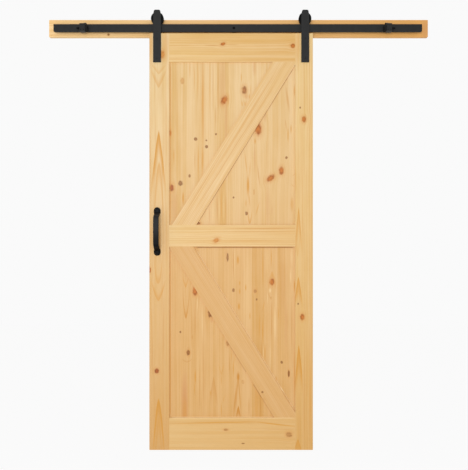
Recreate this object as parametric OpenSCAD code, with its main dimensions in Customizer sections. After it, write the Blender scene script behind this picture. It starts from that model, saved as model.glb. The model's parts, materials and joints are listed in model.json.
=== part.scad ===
// Sliding barn door with its header board, flat rail, rolling hangers and end stops.
// Millimetres, +Z up, -Y towards the room. The origin is the middle of the header board's back face.

/* [Door leaf] */
// Width of the leaf
door_w = 838; // [760:1:1000]
// Height of the leaf
door_h = 2134; // [1950:1:2400]
// Thickness of the leaf
door_t = 35; // [33:1:42]
// Width of the left stile
left_stile_w = 102; // [92:1:130]
// Width of the right stile
right_stile_w = 91; // [90:1:130]
// Height of the top rail
top_rail_h = 147; // [120:1:180]
// Height of the middle rail
mid_rail_h = 110; // [90:1:140]
// Height of the bottom rail
bottom_rail_h = 165; // [140:1:220]
// Height of the opening between the bottom and middle rails
lower_opening_h = 877; // [700:1:1000]
// Thickness of the panels, and of the tongues on the rails
panel_t = 19; // [15:1:22]
// Depth of the grooves that hold the panels
groove_depth = 12; // [8:1:15]
// Room that a panel has to swell in its groove
panel_gap = 1; // [0.5:0.5:3]
// Radius of the eased outer edges of the stiles
stile_edge_r = 2; // [1:0.5:4]
// Distance of the leaf from its place at the middle of the header
door_offset = -38; // [-200:1:200]

/* [Braces] */
// Width of a brace, measured along the rail that it stands on
brace_cut_w = 124; // [90:1:150]
// Gap between the left stile and the foot of the upper brace
upper_brace_gap = 14; // [0:1:30]
// Drop from the top rail to the upper brace's lower edge, at the right stile
upper_brace_drop = 13; // [0:1:40]
// Rise from the bottom rail to the lower brace's upper edge, at the right stile
lower_brace_rise = 28; // [0:1:60]

/* [Frame dowels] */
// Diameter of a dowel
dowel_d = 10; // [8:0.5:10.5]
// Length of a dowel
dowel_l = 80; // [60:1:84]

/* [Header board] */
// Length of the header
header_l = 1968; // [1900:1:2400]
// Height of the header
header_h = 89; // [75:1:140]
// Thickness of the header
header_t = 19; // [15:1:25]
// Radius of the header's corners
header_corner_r = 3; // [1:0.5:8]

/* [Rail] */
// Length of the rail
rail_l = 1893; // [1850:1:1900]
// Height of the rail
rail_h = 40; // [36:1:50]
// Thickness of the rail
rail_t = 6; // [5:0.5:7]
// Height of the rail's top edge above the middle of the header
rail_top_z = 10; // [0:1:20]
// Distance of the rail's middle from the header's middle
rail_offset = -4; // [-20:1:20]
// Radius of the rail's lower corners
rail_low_corner_r = 7; // [2:0.5:12]
// Radius of the rail's upper corners
rail_high_corner_r = 2; // [1:0.5:6]
// Distance from the header's middle to the middle lag bolt
bolt_offset = -24; // [-40:1:40]
// Distance between the two inner lag bolts
bolt_inner_pitch = 760; // [600:1:800]
// Distance between the two outer lag bolts
bolt_outer_pitch = 1560; // [1500:1:1600]
// Diameter of the lag bolts' shank
lag_d = 8; // [6:0.5:9]
// Diameter of the lag bolts' flush head
lag_head_d = 14; // [12:0.5:16]
// Diameter of the lag bolts' thread, at its root
lag_root_d = 7; // [5:0.5:7]
// Length of thread behind the header, without the point
lag_thread_l = 30; // [20:1:60]
// Length of the lag bolts' point
lag_point_l = 6; // [4:1:10]
// Outer diameter of the spacer tubes
spacer_d = 22; // [18:1:24]
// Length of the spacer tubes
spacer_l = 30; // [26:1:40]

/* [End stops] */
// Distance from the rail's left end to the left stop
left_stop_inset = 140; // [100:1:200]
// Distance from the rail's right end to the right stop
right_stop_inset = 161; // [100:1:200]
// Length of a stop block along the rail
stop_l = 28; // [24:1:40]
// Length of the raised crest at the bumper's end of the block
stop_crest_l = 9; // [5:1:14]
// Height of the crest above the rail
stop_crest_h = 7; // [5:0.5:12]
// Height of the shoulder beside the crest, above the rail
stop_shoulder_h = 4; // [3:0.5:4.5]
// Depth of the front jaw
stop_jaw_d = 28; // [24:1:36]
// Height of the front jaw's face
stop_face_h = 39; // [36:1:42]
// Distance that the front jaw reaches below the rail
stop_below = 4; // [2:0.5:8]
// Thickness of the lip behind the rail
stop_lip_t = 6; // [4:0.5:8]
// Distance that the lip reaches down behind the rail
stop_lip_drop = 7; // [4:0.5:8]
// Radius of the block's rounded edges
stop_edge_r = 3; // [1:0.5:3.5]
// Diameter of the rubber bumper
bumper_d = 31; // [26:1:31]
// Thickness of the rubber bumper
bumper_t = 12; // [10:1:20]
// Radius of the bumper's front edge
bumper_edge_r = 3; // [1:0.5:5]
// Diameter of the bumper's stud
stud_d = 8; // [6:0.5:9]
// Depth of the stud in the rubber
stud_in_rubber = 6; // [4:0.5:8]
// Length of stud that stands out past the block
stud_out = 17; // [10:1:25]
// Width of the stud's nut across its flats
nut_af = 13; // [12:0.5:16]
// Thickness of the stud's nut
nut_t = 6.5; // [5:0.5:9]
// Diameter of the set screws
set_screw_d = 5; // [4:0.5:6]
// Height of the set screws above the foot of the rail
set_screw_rise = 4; // [3:0.5:5]

/* [Hangers] */
// Distance from the leaf's edge to the middle of a strap
strap_inset = 40; // [34:1:44]
// Width of a strap
strap_w = 40; // [36:1:50]
// Thickness of a strap
strap_t = 6; // [5:0.5:8]
// Height of a strap's tip above the axle
strap_above = 41; // [34:1:50]
// Length of strap that lies on the leaf
strap_lap = 149; // [140:1:200]
// Width of a strap at its tip
strap_tip_w = 31; // [24:1:34]
// Length over which the tip tapers
strap_taper_l = 27; // [15:1:32]
// Radius of the tip's corners
strap_tip_r = 8; // [2:0.5:8]
// Radius of the corners at the foot
strap_foot_r = 1.5; // [0.5:0.5:4]
// Drop from the leaf's top edge to the upper bolt
hanger_bolt_drop = 29; // [26:1:40]
// Distance between the two bolts of a strap
hanger_bolt_pitch = 101; // [80:1:105]
// Diameter of the hanger bolts
hanger_bolt_d = 8; // [6:0.5:8.5]
// Diameter of the hanger bolts' flush head
hanger_head_d = 14; // [13:0.5:16]
// Outer diameter of the sleeve nuts
sleeve_d = 11; // [10.5:0.5:12]
// Diameter of the sleeve nuts' flange
sleeve_flange_d = 19; // [15:1:22]
// Thickness of the sleeve nuts' flange
sleeve_flange_t = 2.5; // [1.5:0.5:4]
// Distance that a sleeve nut stops short of the strap
sleeve_short = 3; // [2:0.5:6]

/* [Wheels] */
// Radius of a wheel's flanges
flange_r = 32.5; // [31:0.5:35]
// Radius of the tread that runs on the rail
tread_r = 27.7; // [26:0.1:29]
// Width of a wheel
wheel_w = 21; // [18:0.5:21.5]
// Width of the groove at the tread
groove_w = 8; // [7.5:0.5:9]
// Width of the groove at the rim
groove_mouth_w = 12; // [10:0.5:13]
// Edge left standing at the flanges' outer corners
flange_chamfer = 1.5; // [0.5:0.5:2]
// Depth of the dished web on each side of a wheel
web_dish = 3; // [1:0.5:3]
// Running gap between the tread and the rail
tread_gap = 0.3; // [0.2:0.1:1]
// Gap between a wheel and its strap
wheel_side_gap = 0.5; // [0.3:0.1:2]
// Gap between the rail and the leaf's top edge
door_rail_gap = 10; // [9:0.5:20]

/* [Bearings] */
// Bore of the bearing
bearing_bore_d = 10; // [8:0.5:10]
// Outer diameter of the bearing
bearing_d = 26; // [25:0.5:28]
// Width of the bearing
bearing_w = 8; // [7:0.5:9]
// Wall of the inner ring
inner_ring_wall = 2.4; // [2:0.1:2.6]
// Wall of the outer ring
outer_ring_wall = 2.4; // [2:0.1:2.6]
// Number of balls
ball_count = 7; // [5:1:8]
// Diameter of a ball
ball_d = 4.4; // [4:0.1:4.5]
// Running gap round the balls
ball_gap = 0.15; // [0.1:0.05:0.25]
// Thickness of a shield
shield_t = 0.8; // [0.5:0.1:1]

/* [Axles] */
// Width of the axle bolt's head across its flats
axle_head_af = 16; // [13:0.5:17]
// Thickness of the axle bolt's head
axle_head_t = 6.4; // [5:0.2:8]
// Thickness of the collar under the axle bolt's head
axle_collar_t = 1.5; // [1:0.1:2.5]

/* [Jump discs] */
// Diameter of a disc
disc_d = 34; // [28:1:34]
// Thickness of a disc
disc_t = 8; // [5:0.5:8.5]
// Diameter of a disc's screw
disc_screw_d = 4.5; // [3.5:0.5:5]
// Depth of the screw in the leaf
disc_screw_depth = 17; // [12:1:17]
// Diameter of the screw's head
disc_screw_head_d = 9; // [8:0.5:10]

/* [Pull handle] */
// Distance from the leaf's left edge to the handle's middle
handle_inset = 40.5; // [30:0.5:60]
// Height of the handle's middle above the leaf's bottom edge
handle_rise = 1119; // [900:1:1200]
// Distance between the middles of the feet
handle_foot_pitch = 213; // [160:1:260]
// Distance from the leaf to the middle of the grip
handle_reach = 55; // [45:1:65]
// Width of the grip
grip_w = 28; // [20:1:30]
// Thickness of the grip
grip_t = 12; // [9:0.5:14]
// Radius of the grip's long edges
grip_edge_r = 4.5; // [2:0.5:4.5]
// Half of the angle that the bowed grip turns through
grip_half_angle = 5; // [3:0.5:14]
// Slope of the arms against the leaf
arm_slope = 51; // [46:1:70]
// Radius of the bend between grip and arm
arm_bend_r = 20; // [10:0.5:24]
// Radius of a foot
foot_r = 17.5; // [16:0.5:22]
// Height of a foot at its middle
foot_h = 10; // [8:0.5:12]
// Height of a foot at its rim
foot_rim_h = 3; // [2:0.5:5]
// Diameter of the handle's screws
handle_screw_d = 5; // [4:0.5:6]
// Diameter of the handle screws' head
handle_screw_head_d = 10; // [9:0.5:11]
// Depth of the screws in the feet
handle_screw_depth = 7; // [5:0.5:7.5]

/* [Hidden] */
$fn = 64;
SIDES = ["left", "right"];

// How far a cut runs past the face that it opens
over = 1;
// Radial room of a shaft in its hole
fit_gap = 0.03;
// Radial room of a bolt in a clearance hole
clear_gap = 0.3;
// Corners of a hexagon
hex_sides = 6;
// Share of a hexagon's flats that its corner radius is
hex_corner_share = 1 / sqrt(3);
// Flats of a socket, as a share of its screw's head
socket_flats_share = 0.5;
// Depth of a socket, as a share of its screw's head
socket_depth_share = 0.24;
// Depth of a sleeve nut's socket, as a share of its flange
sleeve_socket_share = 0.7;
// Places of the dowels on a rail's height
dowel_place_shares = [0.28, 0.72];
// Places of a stop's set screws on its length
set_screw_place_shares = [0.25, 0.75];

// Planes across the wall, from the wall to the room
rail_back_y = -header_t - spacer_l;
rail_front_y = rail_back_y - rail_t;
rail_mid_y = rail_back_y - rail_t / 2;
wheel_offset_y = wheel_side_gap + wheel_w / 2;
door_front_y = rail_mid_y - wheel_offset_y;

// Heights
rail_bottom_z = rail_top_z - rail_h;
rail_mid_z = rail_top_z - rail_h / 2;
axle_z = rail_top_z + tread_gap + tread_r;
door_top_z = rail_bottom_z - door_rail_gap;
door_bottom_z = door_top_z - door_h;

// Places along the wall
door_left_x = door_offset - door_w / 2;
rail_left_x = rail_offset - rail_l / 2;
rail_right_x = rail_offset + rail_l / 2;
bolt_places = [
    bolt_offset - bolt_outer_pitch / 2,
    bolt_offset - bolt_inner_pitch / 2,
    bolt_offset,
    bolt_offset + bolt_inner_pitch / 2,
    bolt_offset + bolt_outer_pitch / 2
];

// Heights on the leaf, from its bottom edge
mid_rail_z = bottom_rail_h + lower_opening_h;
upper_opening_z = mid_rail_z + mid_rail_h;
top_rail_z = door_h - top_rail_h;
upper_opening_h = top_rail_z - upper_opening_z;
opening_w = door_w - left_stile_w - right_stile_w;
right_stile_x = door_w - right_stile_w;
face_recess = (door_t - panel_t) / 2;
panel_tongue = groove_depth - panel_gap;
hanger_bolt_heights = [
    door_h - hanger_bolt_drop,
    door_h - hanger_bolt_drop - hanger_bolt_pitch
];
handle_foot_heights = [
    handle_rise - handle_foot_pitch / 2,
    handle_rise + handle_foot_pitch / 2
];

// Fasteners
lag_r = lag_d / 2;
lag_head_r = lag_head_d / 2;
hanger_bolt_r = hanger_bolt_d / 2;
hanger_head_r = hanger_head_d / 2;
sleeve_r = sleeve_d / 2;
sleeve_flange_r = sleeve_flange_d / 2;
stud_r = stud_d / 2;
set_screw_r = set_screw_d / 2;
disc_screw_r = disc_screw_d / 2;
disc_screw_head_r = disc_screw_head_d / 2;
handle_screw_r = handle_screw_d / 2;
handle_screw_head_r = handle_screw_head_d / 2;
dowel_r = dowel_d / 2;

// Bearing and axle, measured from the strap's back face
axle_r = bearing_bore_d / 2;
inner_ring_r = axle_r + inner_ring_wall;
bearing_r = bearing_d / 2;
outer_ring_bore_r = bearing_r - outer_ring_wall;
ball_pitch_r = (inner_ring_r + outer_ring_bore_r) / 2;
ball_r = ball_d / 2;
race_r = ball_r + ball_gap;
cage_half_wall = (outer_ring_bore_r - inner_ring_r) / 2 - clear_gap;
cage_w = bearing_w - 2 * shield_t - 4 * clear_gap;
axle_spacer_l = wheel_offset_y - bearing_w / 2;
axle_collar_y = axle_spacer_l + bearing_w;
axle_head_y = axle_collar_y + axle_collar_t;

// Wheel section
hub_r = bearing_r + (tread_r - bearing_r) / 4;
web_rim_r = tread_r - (tread_r - bearing_r) / 4;
wheel_lip_r = bearing_r - outer_ring_wall / 2;

// Steps of the handle's curves
corner_steps = 4;
grip_steps = 6;
bend_steps = 6;

// Handle, worked out so that grip, bend and arm meet without a kink
handle_arm_end = grip_t / 2 * cos(arm_slope) + foot_rim_h / 3;
slope_cot = cos(arm_slope) / sin(arm_slope);
bend_along = arm_bend_r * (sin(arm_slope) - sin(grip_half_angle));
bend_out = arm_bend_r * (cos(grip_half_angle) - cos(arm_slope));
grip_bow_r = (handle_foot_pitch / 2 - bend_along
    - slope_cot * (handle_reach - bend_out - handle_arm_end))
    / (sin(grip_half_angle) - slope_cot * (1 - cos(grip_half_angle)));
grip_bow_centre = handle_reach - grip_bow_r;
foot_dome_r = (foot_r * foot_r + (foot_h - foot_rim_h) * (foot_h - foot_rim_h))
    / (2 * (foot_h - foot_rim_h));

// Stop block section
stop_back_y = rail_back_y + clear_gap + stop_lip_t;
stop_front_y = rail_front_y - clear_gap - stop_jaw_d;
stop_foot_z = rail_bottom_z - stop_below;
stop_face_top_z = stop_foot_z + stop_face_h;
bumper_y = rail_front_y - clear_gap - bumper_d / 2;
bumper_z = (stop_foot_z + stop_face_top_z) / 2 - stop_edge_r / 2;
set_screw_z = rail_bottom_z + set_screw_rise;

// Colours
PINE = [0.90, 0.74, 0.50];
PINE_DARK = [0.84, 0.66, 0.42];
BLACK_STEEL = [0.20, 0.20, 0.21];
BLACK_NYLON = [0.13, 0.13, 0.14];
RUBBER = [0.11, 0.11, 0.11];
BRIGHT_STEEL = [0.70, 0.71, 0.73];

TRACK_PIECES = ["header_board", "rail", "rail_bolts", "stop_set_screws"];
SPACER_PIECES = [for (i = [1 : len(bolt_places)]) str("rail_spacer_", i)];
DOOR_PIECES = [
    "left_stile", "right_stile", "top_rail", "mid_rail", "bottom_rail", "upper_panel", "lower_panel",
    "front_upper_brace", "front_lower_brace", "back_upper_brace", "back_lower_brace", "frame_dowels",
    "hanger_bolts", "hanger_nuts", "jump_disc_screws", "pull_handle", "handle_screws"
];
PAIRED_PIECES = [
    "stop_block", "stop_bumper", "stop_stud", "stop_nut", "hanger_strap", "axle_bolt", "axle_spacer",
    "bearing_inner_ring", "jump_disc", "wheel", "bearing_outer_ring", "bearing_shields", "bearing_cage",
    "bearing_balls"
];

// Outlines and bars that several pieces share

function unit(v) = v / norm(v);

// Where a corner's rounding begins, on the way from the corner to a neighbour
function round_start(corner, to, other, r) =
    corner + unit(to - corner) * r / tan(acos(unit(to - corner) * unit(other - corner)) / 2);

function round_centre(corner, before, after, r) =
    let (u = unit(before - corner), v = unit(after - corner))
    corner + unit(u + v) * r / sin(acos(u * v) / 2);

// A polygon whose outward corners are rounded, each by its own radius, or sharp where that is zero
module rounded_outline(points, radii) {
    n = len(points);
    polygon([
        for (i = [0 : n - 1])
            let (here = points[i], before = points[(i + n - 1) % n], after = points[(i + 1) % n])
            each radii[i] == 0 ? [here] : [
                round_start(here, before, after, radii[i]),
                round_start(here, after, before, radii[i])
            ]
    ]);
    for (i = [0 : n - 1])
        if (radii[i] > 0)
            translate(round_centre(points[i], points[(i + n - 1) % n], points[(i + 1) % n], radii[i]))
                circle(radii[i]);
}

// A rectangle about the origin with four round corners
module rounded_rect(w, h, r) {
    rounded_outline([[-w / 2, -h / 2], [w / 2, -h / 2], [w / 2, h / 2], [-w / 2, h / 2]], [r, r, r, r]);
}

// Stands a drawing up in the XZ plane and gives it a depth towards the wall
module upright(depth) {
    translate([0, depth, 0])
        rotate([90, 0, 0])
            linear_extrude(depth)
                children();
}

// Lays a drawing of (Y, Z) points across the rail and gives it a length along X
module along_x(length) {
    rotate([90, 0, 90])
        linear_extrude(length)
            children();
}

module rod_x(r, length) {
    rotate([0, 90, 0])
        cylinder(r = r, h = length);
}

module rod_y(r, length) {
    rotate([-90, 0, 0])
        cylinder(r = r, h = length);
}

module cone_y(r1, r2, length) {
    rotate([-90, 0, 0])
        cylinder(r1 = r1, r2 = r2, h = length);
}

module tube_y(r, bore_r, length) {
    difference() {
        rod_y(r, length);
        translate([0, -over, 0])
            rod_y(bore_r, length + 2 * over);
    }
}

module hex_y(flats, length) {
    rotate([-90, 0, 0])
        cylinder(r = flats * hex_corner_share, h = length, $fn = hex_sides);
}

// A flush screw with a cone head and a hexagon socket, from its head at the origin towards +Y
module flush_screw(r, head_r, length) {
    difference() {
        union() {
            cone_y(head_r, r, head_r - r);
            translate([0, head_r - r, 0])
                rod_y(r, length - head_r + r);
        }
        translate([0, -over, 0])
            hex_y(2 * head_r * socket_flats_share, over + 2 * head_r * socket_depth_share);
    }
}

// The hole that a flush screw sits in, cut from y = 0 to a depth
module flush_hole(r, head_r, depth) {
    translate([0, -over, 0])
        rod_y(r, depth + 2 * over);
    translate([0, -over, 0])
        cone_y(head_r + fit_gap + over, r, head_r - r + fit_gap + over);
}

// Frames of the assemblies

// From the leaf's lower left front corner
module on_door() {
    translate([door_left_x, door_front_y, door_bottom_z])
        children();
}

function hanger_x(side) = side == "left" ? strap_inset : door_w - strap_inset;

// From the middle of a wheel's axle at the strap's back face
module on_hanger(side) {
    translate([door_left_x + hanger_x(side), door_front_y, axle_z])
        children();
}

// From the middle of a wheel
module on_wheel(side) {
    on_hanger(side)
        translate([0, wheel_offset_y, 0])
            children();
}

// Along the rail, from a stop's outer face towards the middle of the rail
module on_stop(side) {
    if (side == "left")
        translate([rail_left_x + left_stop_inset, 0, 0])
            children();
    else
        translate([rail_right_x - right_stop_inset, 0, 0])
            mirror([1, 0, 0])
                children();
}

// Track

module header_board() {
    color(PINE)
        difference() {
            translate([0, -header_t, 0])
                upright(header_t)
                    rounded_rect(header_l, header_h, header_corner_r);
            for (x = bolt_places)
                translate([x, -header_t - over, rail_mid_z])
                    rod_y(lag_r + clear_gap, header_t + 2 * over);
        }
}

module rail() {
    color(BLACK_STEEL)
        difference() {
            translate([0, rail_front_y, 0])
                upright(rail_t)
                    rounded_outline(
                        [
                            [rail_left_x, rail_bottom_z], [rail_right_x, rail_bottom_z],
                            [rail_right_x, rail_top_z], [rail_left_x, rail_top_z]
                        ],
                        [rail_low_corner_r, rail_low_corner_r, rail_high_corner_r, rail_high_corner_r]
                    );
            for (x = bolt_places)
                translate([x, rail_front_y, rail_mid_z])
                    flush_hole(lag_r + fit_gap, lag_head_r, rail_t);
        }
}

module rail_spacer(i) {
    color(BLACK_STEEL)
        translate([bolt_places[i], rail_back_y, rail_mid_z])
            tube_y(spacer_d / 2, lag_r + clear_gap, spacer_l);
}

module lag_bolt() {
    through = rail_t + spacer_l + header_t;
    flush_screw(lag_r, lag_head_r, through);
    translate([0, through, 0])
        rod_y(lag_root_d / 2, lag_thread_l);
    translate([0, through + lag_thread_l, 0])
        cone_y(lag_root_d / 2, 0, lag_point_l);
}

module rail_bolts() {
    color(BLACK_STEEL)
        for (x = bolt_places)
            translate([x, rail_front_y, rail_mid_z])
                lag_bolt();
}

// Section of a stop block across the rail: a lip behind, a bridge on top and a thick jaw in front
module stop_section(crest_h) {
    slot_back_y = rail_back_y + clear_gap;
    slot_front_y = rail_front_y - clear_gap;
    crest_z = rail_top_z + crest_h;
    lip_foot_z = rail_top_z - stop_lip_drop;
    rounded_outline(
        [
            [slot_back_y, lip_foot_z], [stop_back_y, lip_foot_z], [stop_back_y, crest_z],
            [slot_front_y, crest_z], [stop_front_y, stop_face_top_z], [stop_front_y, stop_foot_z],
            [slot_front_y, stop_foot_z], [slot_front_y, rail_top_z], [slot_back_y, rail_top_z]
        ],
        [0, 0, stop_edge_r, 0, stop_edge_r, stop_edge_r, 0, 0, 0]
    );
}

module stop_block(side) {
    color(BLACK_STEEL)
        on_stop(side)
            difference() {
                union() {
                    along_x(stop_l)
                        stop_section(stop_shoulder_h);
                    translate([stop_l - stop_crest_l, 0, 0])
                        along_x(stop_crest_l)
                            stop_section(stop_crest_h);
                }
                translate([-over, bumper_y, bumper_z])
                    rod_x(stud_r + fit_gap, stop_l + 2 * over);
                for (share = set_screw_place_shares)
                    translate([stop_l * share, stop_front_y - over, set_screw_z])
                        rod_y(set_screw_r + fit_gap, stop_jaw_d + 2 * over);
            }
}

module stop_bumper(side) {
    color(RUBBER)
        on_stop(side)
            translate([stop_l, bumper_y, bumper_z])
                rotate([0, 90, 0])
                    difference() {
                        rotate_extrude()
                            rounded_outline(
                                [[0, 0], [bumper_d / 2, 0], [bumper_d / 2, bumper_t], [0, bumper_t]],
                                [0, 0, bumper_edge_r, 0]
                            );
                        translate([0, 0, -over])
                            cylinder(r = stud_r + fit_gap, h = stud_in_rubber + over);
                    }
}

module stop_stud(side) {
    color(BRIGHT_STEEL)
        on_stop(side)
            translate([-stud_out, bumper_y, bumper_z])
                rod_x(stud_r, stud_out + stop_l + stud_in_rubber);
}

module stop_nut(side) {
    color(BRIGHT_STEEL)
        on_stop(side)
            translate([-nut_t, bumper_y, bumper_z])
                difference() {
                    rotate([0, 90, 0])
                        cylinder(r = nut_af * hex_corner_share, h = nut_t, $fn = hex_sides);
                    translate([-over, 0, 0])
                        rod_x(stud_r + fit_gap, nut_t + 2 * over);
                }
}

module stop_set_screws() {
    flats = set_screw_d * socket_flats_share;
    color(BRIGHT_STEEL)
        for (side = SIDES, share = set_screw_place_shares)
            on_stop(side)
                translate([stop_l * share, stop_front_y, set_screw_z])
                    difference() {
                        rod_y(set_screw_r, stop_jaw_d + clear_gap);
                        translate([0, -over, 0])
                            hex_y(flats, flats + over);
                    }
}

// Door leaf

// Section of a stile from above, with its outer edges eased and its groove on the inner edge
module stile_section(w) {
    difference() {
        rounded_outline([[0, 0], [w, 0], [w, door_t], [0, door_t]], [stile_edge_r, 0, 0, stile_edge_r]);
        translate([w - groove_depth, face_recess])
            square([groove_depth + over, panel_t]);
    }
}

function rail_dowel_heights(z, h) = [for (share = dowel_place_shares) z + h * share];

dowel_heights = concat(
    rail_dowel_heights(0, bottom_rail_h),
    rail_dowel_heights(mid_rail_z, mid_rail_h),
    rail_dowel_heights(top_rail_z, top_rail_h)
);
dowel_joints = [left_stile_w, right_stile_x];

// Dowels across the given joints at the given heights, with some slack all round for their bores
module dowel_rods(joints, heights, slack) {
    for (x = joints, z = heights)
        translate([x - dowel_l / 2 - slack, door_t / 2, z])
            rod_x(dowel_r + slack, dowel_l + 2 * slack);
}

// Through holes of a hanger's sleeve nuts, with a seat for the flange at the back
module hanger_bores(side) {
    for (z = hanger_bolt_heights)
        translate([hanger_x(side), 0, z]) {
            translate([0, -over, 0])
                rod_y(sleeve_r + fit_gap, door_t + 2 * over);
            translate([0, door_t - sleeve_flange_t, 0])
                rod_y(sleeve_flange_r + fit_gap, sleeve_flange_t + over);
        }
}

module jump_screw_bore(side) {
    translate([hanger_x(side), door_t / 2, door_h - disc_screw_depth])
        cylinder(r = disc_screw_r + fit_gap, h = disc_screw_depth + over);
}

module left_stile() {
    color(PINE)
        on_door()
            difference() {
                linear_extrude(door_h)
                    stile_section(left_stile_w);
                dowel_rods([left_stile_w], dowel_heights, fit_gap);
                hanger_bores("left");
                jump_screw_bore("left");
                for (z = handle_foot_heights)
                    translate([handle_inset, door_t, z])
                        rotate([0, 0, 180])
                            flush_hole(handle_screw_r + fit_gap, handle_screw_head_r, door_t);
            }
}

module right_stile() {
    color(PINE)
        on_door()
            difference() {
                translate([door_w, 0, 0])
                    mirror([1, 0, 0])
                        linear_extrude(door_h)
                            stile_section(right_stile_w);
                dowel_rods([right_stile_x], dowel_heights, fit_gap);
                hanger_bores("right");
                jump_screw_bore("right");
            }
}

// A cross rail with tongues at its ends and a groove along each edge that meets a panel
module cross_rail(z, h, groove_above, groove_below) {
    color(PINE)
        on_door()
            difference() {
                translate([0, 0, z]) {
                    translate([left_stile_w, 0, 0])
                        cube([opening_w, door_t, h]);
                    translate([left_stile_w - groove_depth, face_recess, 0])
                        cube([opening_w + 2 * groove_depth, panel_t, h]);
                }
                if (groove_above)
                    translate([0, face_recess, z + h - groove_depth])
                        cube([door_w, panel_t, groove_depth + over]);
                if (groove_below)
                    translate([0, face_recess, z - over])
                        cube([door_w, panel_t, groove_depth + over]);
                dowel_rods(dowel_joints, rail_dowel_heights(z, h), fit_gap);
            }
}

module top_rail() {
    cross_rail(top_rail_z, top_rail_h, false, true);
}

module mid_rail() {
    cross_rail(mid_rail_z, mid_rail_h, true, true);
}

module bottom_rail() {
    cross_rail(0, bottom_rail_h, true, false);
}

module panel(z, h) {
    color(PINE)
        on_door()
            translate([left_stile_w - panel_tongue, face_recess, z - panel_tongue])
                cube([opening_w + 2 * panel_tongue, panel_t, h + 2 * panel_tongue]);
}

module upper_panel() {
    panel(upper_opening_z, upper_opening_h);
}

module lower_panel() {
    panel(bottom_rail_h, lower_opening_h);
}

// Outline of a brace in an opening: a band from a rail to the right stile, cut to the opening
module brace_outline(opening_h, start, end) {
    run = end - start;
    across = [brace_cut_w, 0];
    intersection() {
        square([opening_w, opening_h]);
        polygon([start - run, start - across - run, end - across + run, end + run]);
    }
}

module upper_brace_outline() {
    translate([left_stile_w, upper_opening_z])
        brace_outline(
            upper_opening_h,
            [upper_brace_gap + brace_cut_w, 0],
            [opening_w, upper_opening_h - upper_brace_drop]
        );
}

module lower_brace_outline() {
    translate([left_stile_w, bottom_rail_h])
        brace_outline(lower_opening_h, [brace_cut_w, lower_opening_h], [opening_w, lower_brace_rise]);
}

module brace(y) {
    color(PINE)
        on_door()
            translate([0, y, 0])
                upright(face_recess)
                    children();
}

module front_upper_brace() {
    brace(0)
        upper_brace_outline();
}

module front_lower_brace() {
    brace(0)
        lower_brace_outline();
}

module back_upper_brace() {
    brace(door_t - face_recess)
        upper_brace_outline();
}

module back_lower_brace() {
    brace(door_t - face_recess)
        lower_brace_outline();
}

module frame_dowels() {
    color(PINE_DARK)
        on_door()
            dowel_rods(dowel_joints, dowel_heights, 0);
}

// Hangers

module hanger_strap(side) {
    foot_z = door_top_z - strap_lap - axle_z;
    color(BLACK_STEEL)
        on_hanger(side)
            difference() {
                translate([0, -strap_t, 0])
                    upright(strap_t)
                        rounded_outline(
                            [
                                [-strap_w / 2, foot_z], [strap_w / 2, foot_z],
                                [strap_w / 2, strap_above - strap_taper_l], [strap_tip_w / 2, strap_above],
                                [-strap_tip_w / 2, strap_above], [-strap_w / 2, strap_above - strap_taper_l]
                            ],
                            [strap_foot_r, strap_foot_r, 0, strap_tip_r, strap_tip_r, 0]
                        );
                translate([0, -strap_t - over, 0])
                    rod_y(axle_r, strap_t + 2 * over);
                for (z = hanger_bolt_heights)
                    translate([0, -strap_t, z + door_bottom_z - axle_z])
                        flush_hole(hanger_bolt_r + fit_gap, hanger_head_r, strap_t);
            }
}

// Holds wheel and bearing from behind, threads into the strap and ends flush with its face
module axle_bolt(side) {
    color(BLACK_STEEL)
        on_hanger(side) {
            translate([0, -strap_t, 0])
                rod_y(axle_r - fit_gap, strap_t + axle_collar_y);
            translate([0, axle_collar_y, 0])
                rod_y(inner_ring_r, axle_collar_t);
            translate([0, axle_head_y, 0])
                hex_y(axle_head_af, axle_head_t);
        }
}

module axle_spacer(side) {
    color(BRIGHT_STEEL)
        on_hanger(side)
            tube_y(inner_ring_r, axle_r, axle_spacer_l);
}

module hanger_bolts() {
    bolt_l = strap_t + door_t - sleeve_flange_t;
    color(BLACK_STEEL)
        on_door()
            for (side = SIDES, z = hanger_bolt_heights)
                translate([hanger_x(side), -strap_t, z])
                    flush_screw(hanger_bolt_r, hanger_head_r, bolt_l);
}

// Sleeve nuts that take the hanger bolts from the back of the leaf
module hanger_nuts() {
    sleeve_l = door_t - sleeve_short;
    socket_depth = sleeve_flange_t * sleeve_socket_share;
    color(BLACK_STEEL)
        on_door()
            for (side = SIDES, z = hanger_bolt_heights)
                translate([hanger_x(side), sleeve_short, z])
                    difference() {
                        union() {
                            rod_y(sleeve_r, sleeve_l);
                            translate([0, sleeve_l - sleeve_flange_t, 0])
                                rod_y(sleeve_flange_r, sleeve_flange_t);
                        }
                        translate([0, -over, 0])
                            rod_y(hanger_bolt_r + fit_gap, sleeve_l - sleeve_flange_t + over);
                        translate([0, sleeve_l - socket_depth, 0])
                            hex_y(hanger_bolt_d * socket_flats_share, socket_depth + over);
                    }
}

module jump_disc(side) {
    head_drop = disc_screw_head_r - disc_screw_r;
    color(BLACK_NYLON)
        on_door()
            translate([hanger_x(side), door_t / 2, door_h])
                difference() {
                    cylinder(d = disc_d, h = disc_t);
                    translate([0, 0, -over])
                        cylinder(r = disc_screw_r + fit_gap, h = disc_t + 2 * over);
                    translate([0, 0, disc_t - head_drop - fit_gap])
                        cylinder(r1 = disc_screw_r, r2 = disc_screw_head_r + fit_gap + over,
                            h = head_drop + fit_gap + over);
                }
}

module jump_disc_screws() {
    color(BRIGHT_STEEL)
        on_door()
            for (side = SIDES)
                translate([hanger_x(side), door_t / 2, door_h + disc_t])
                    rotate([-90, 0, 0])
                        flush_screw(disc_screw_r, disc_screw_head_r, disc_t + disc_screw_depth);
}

// Wheels and bearings

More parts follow.
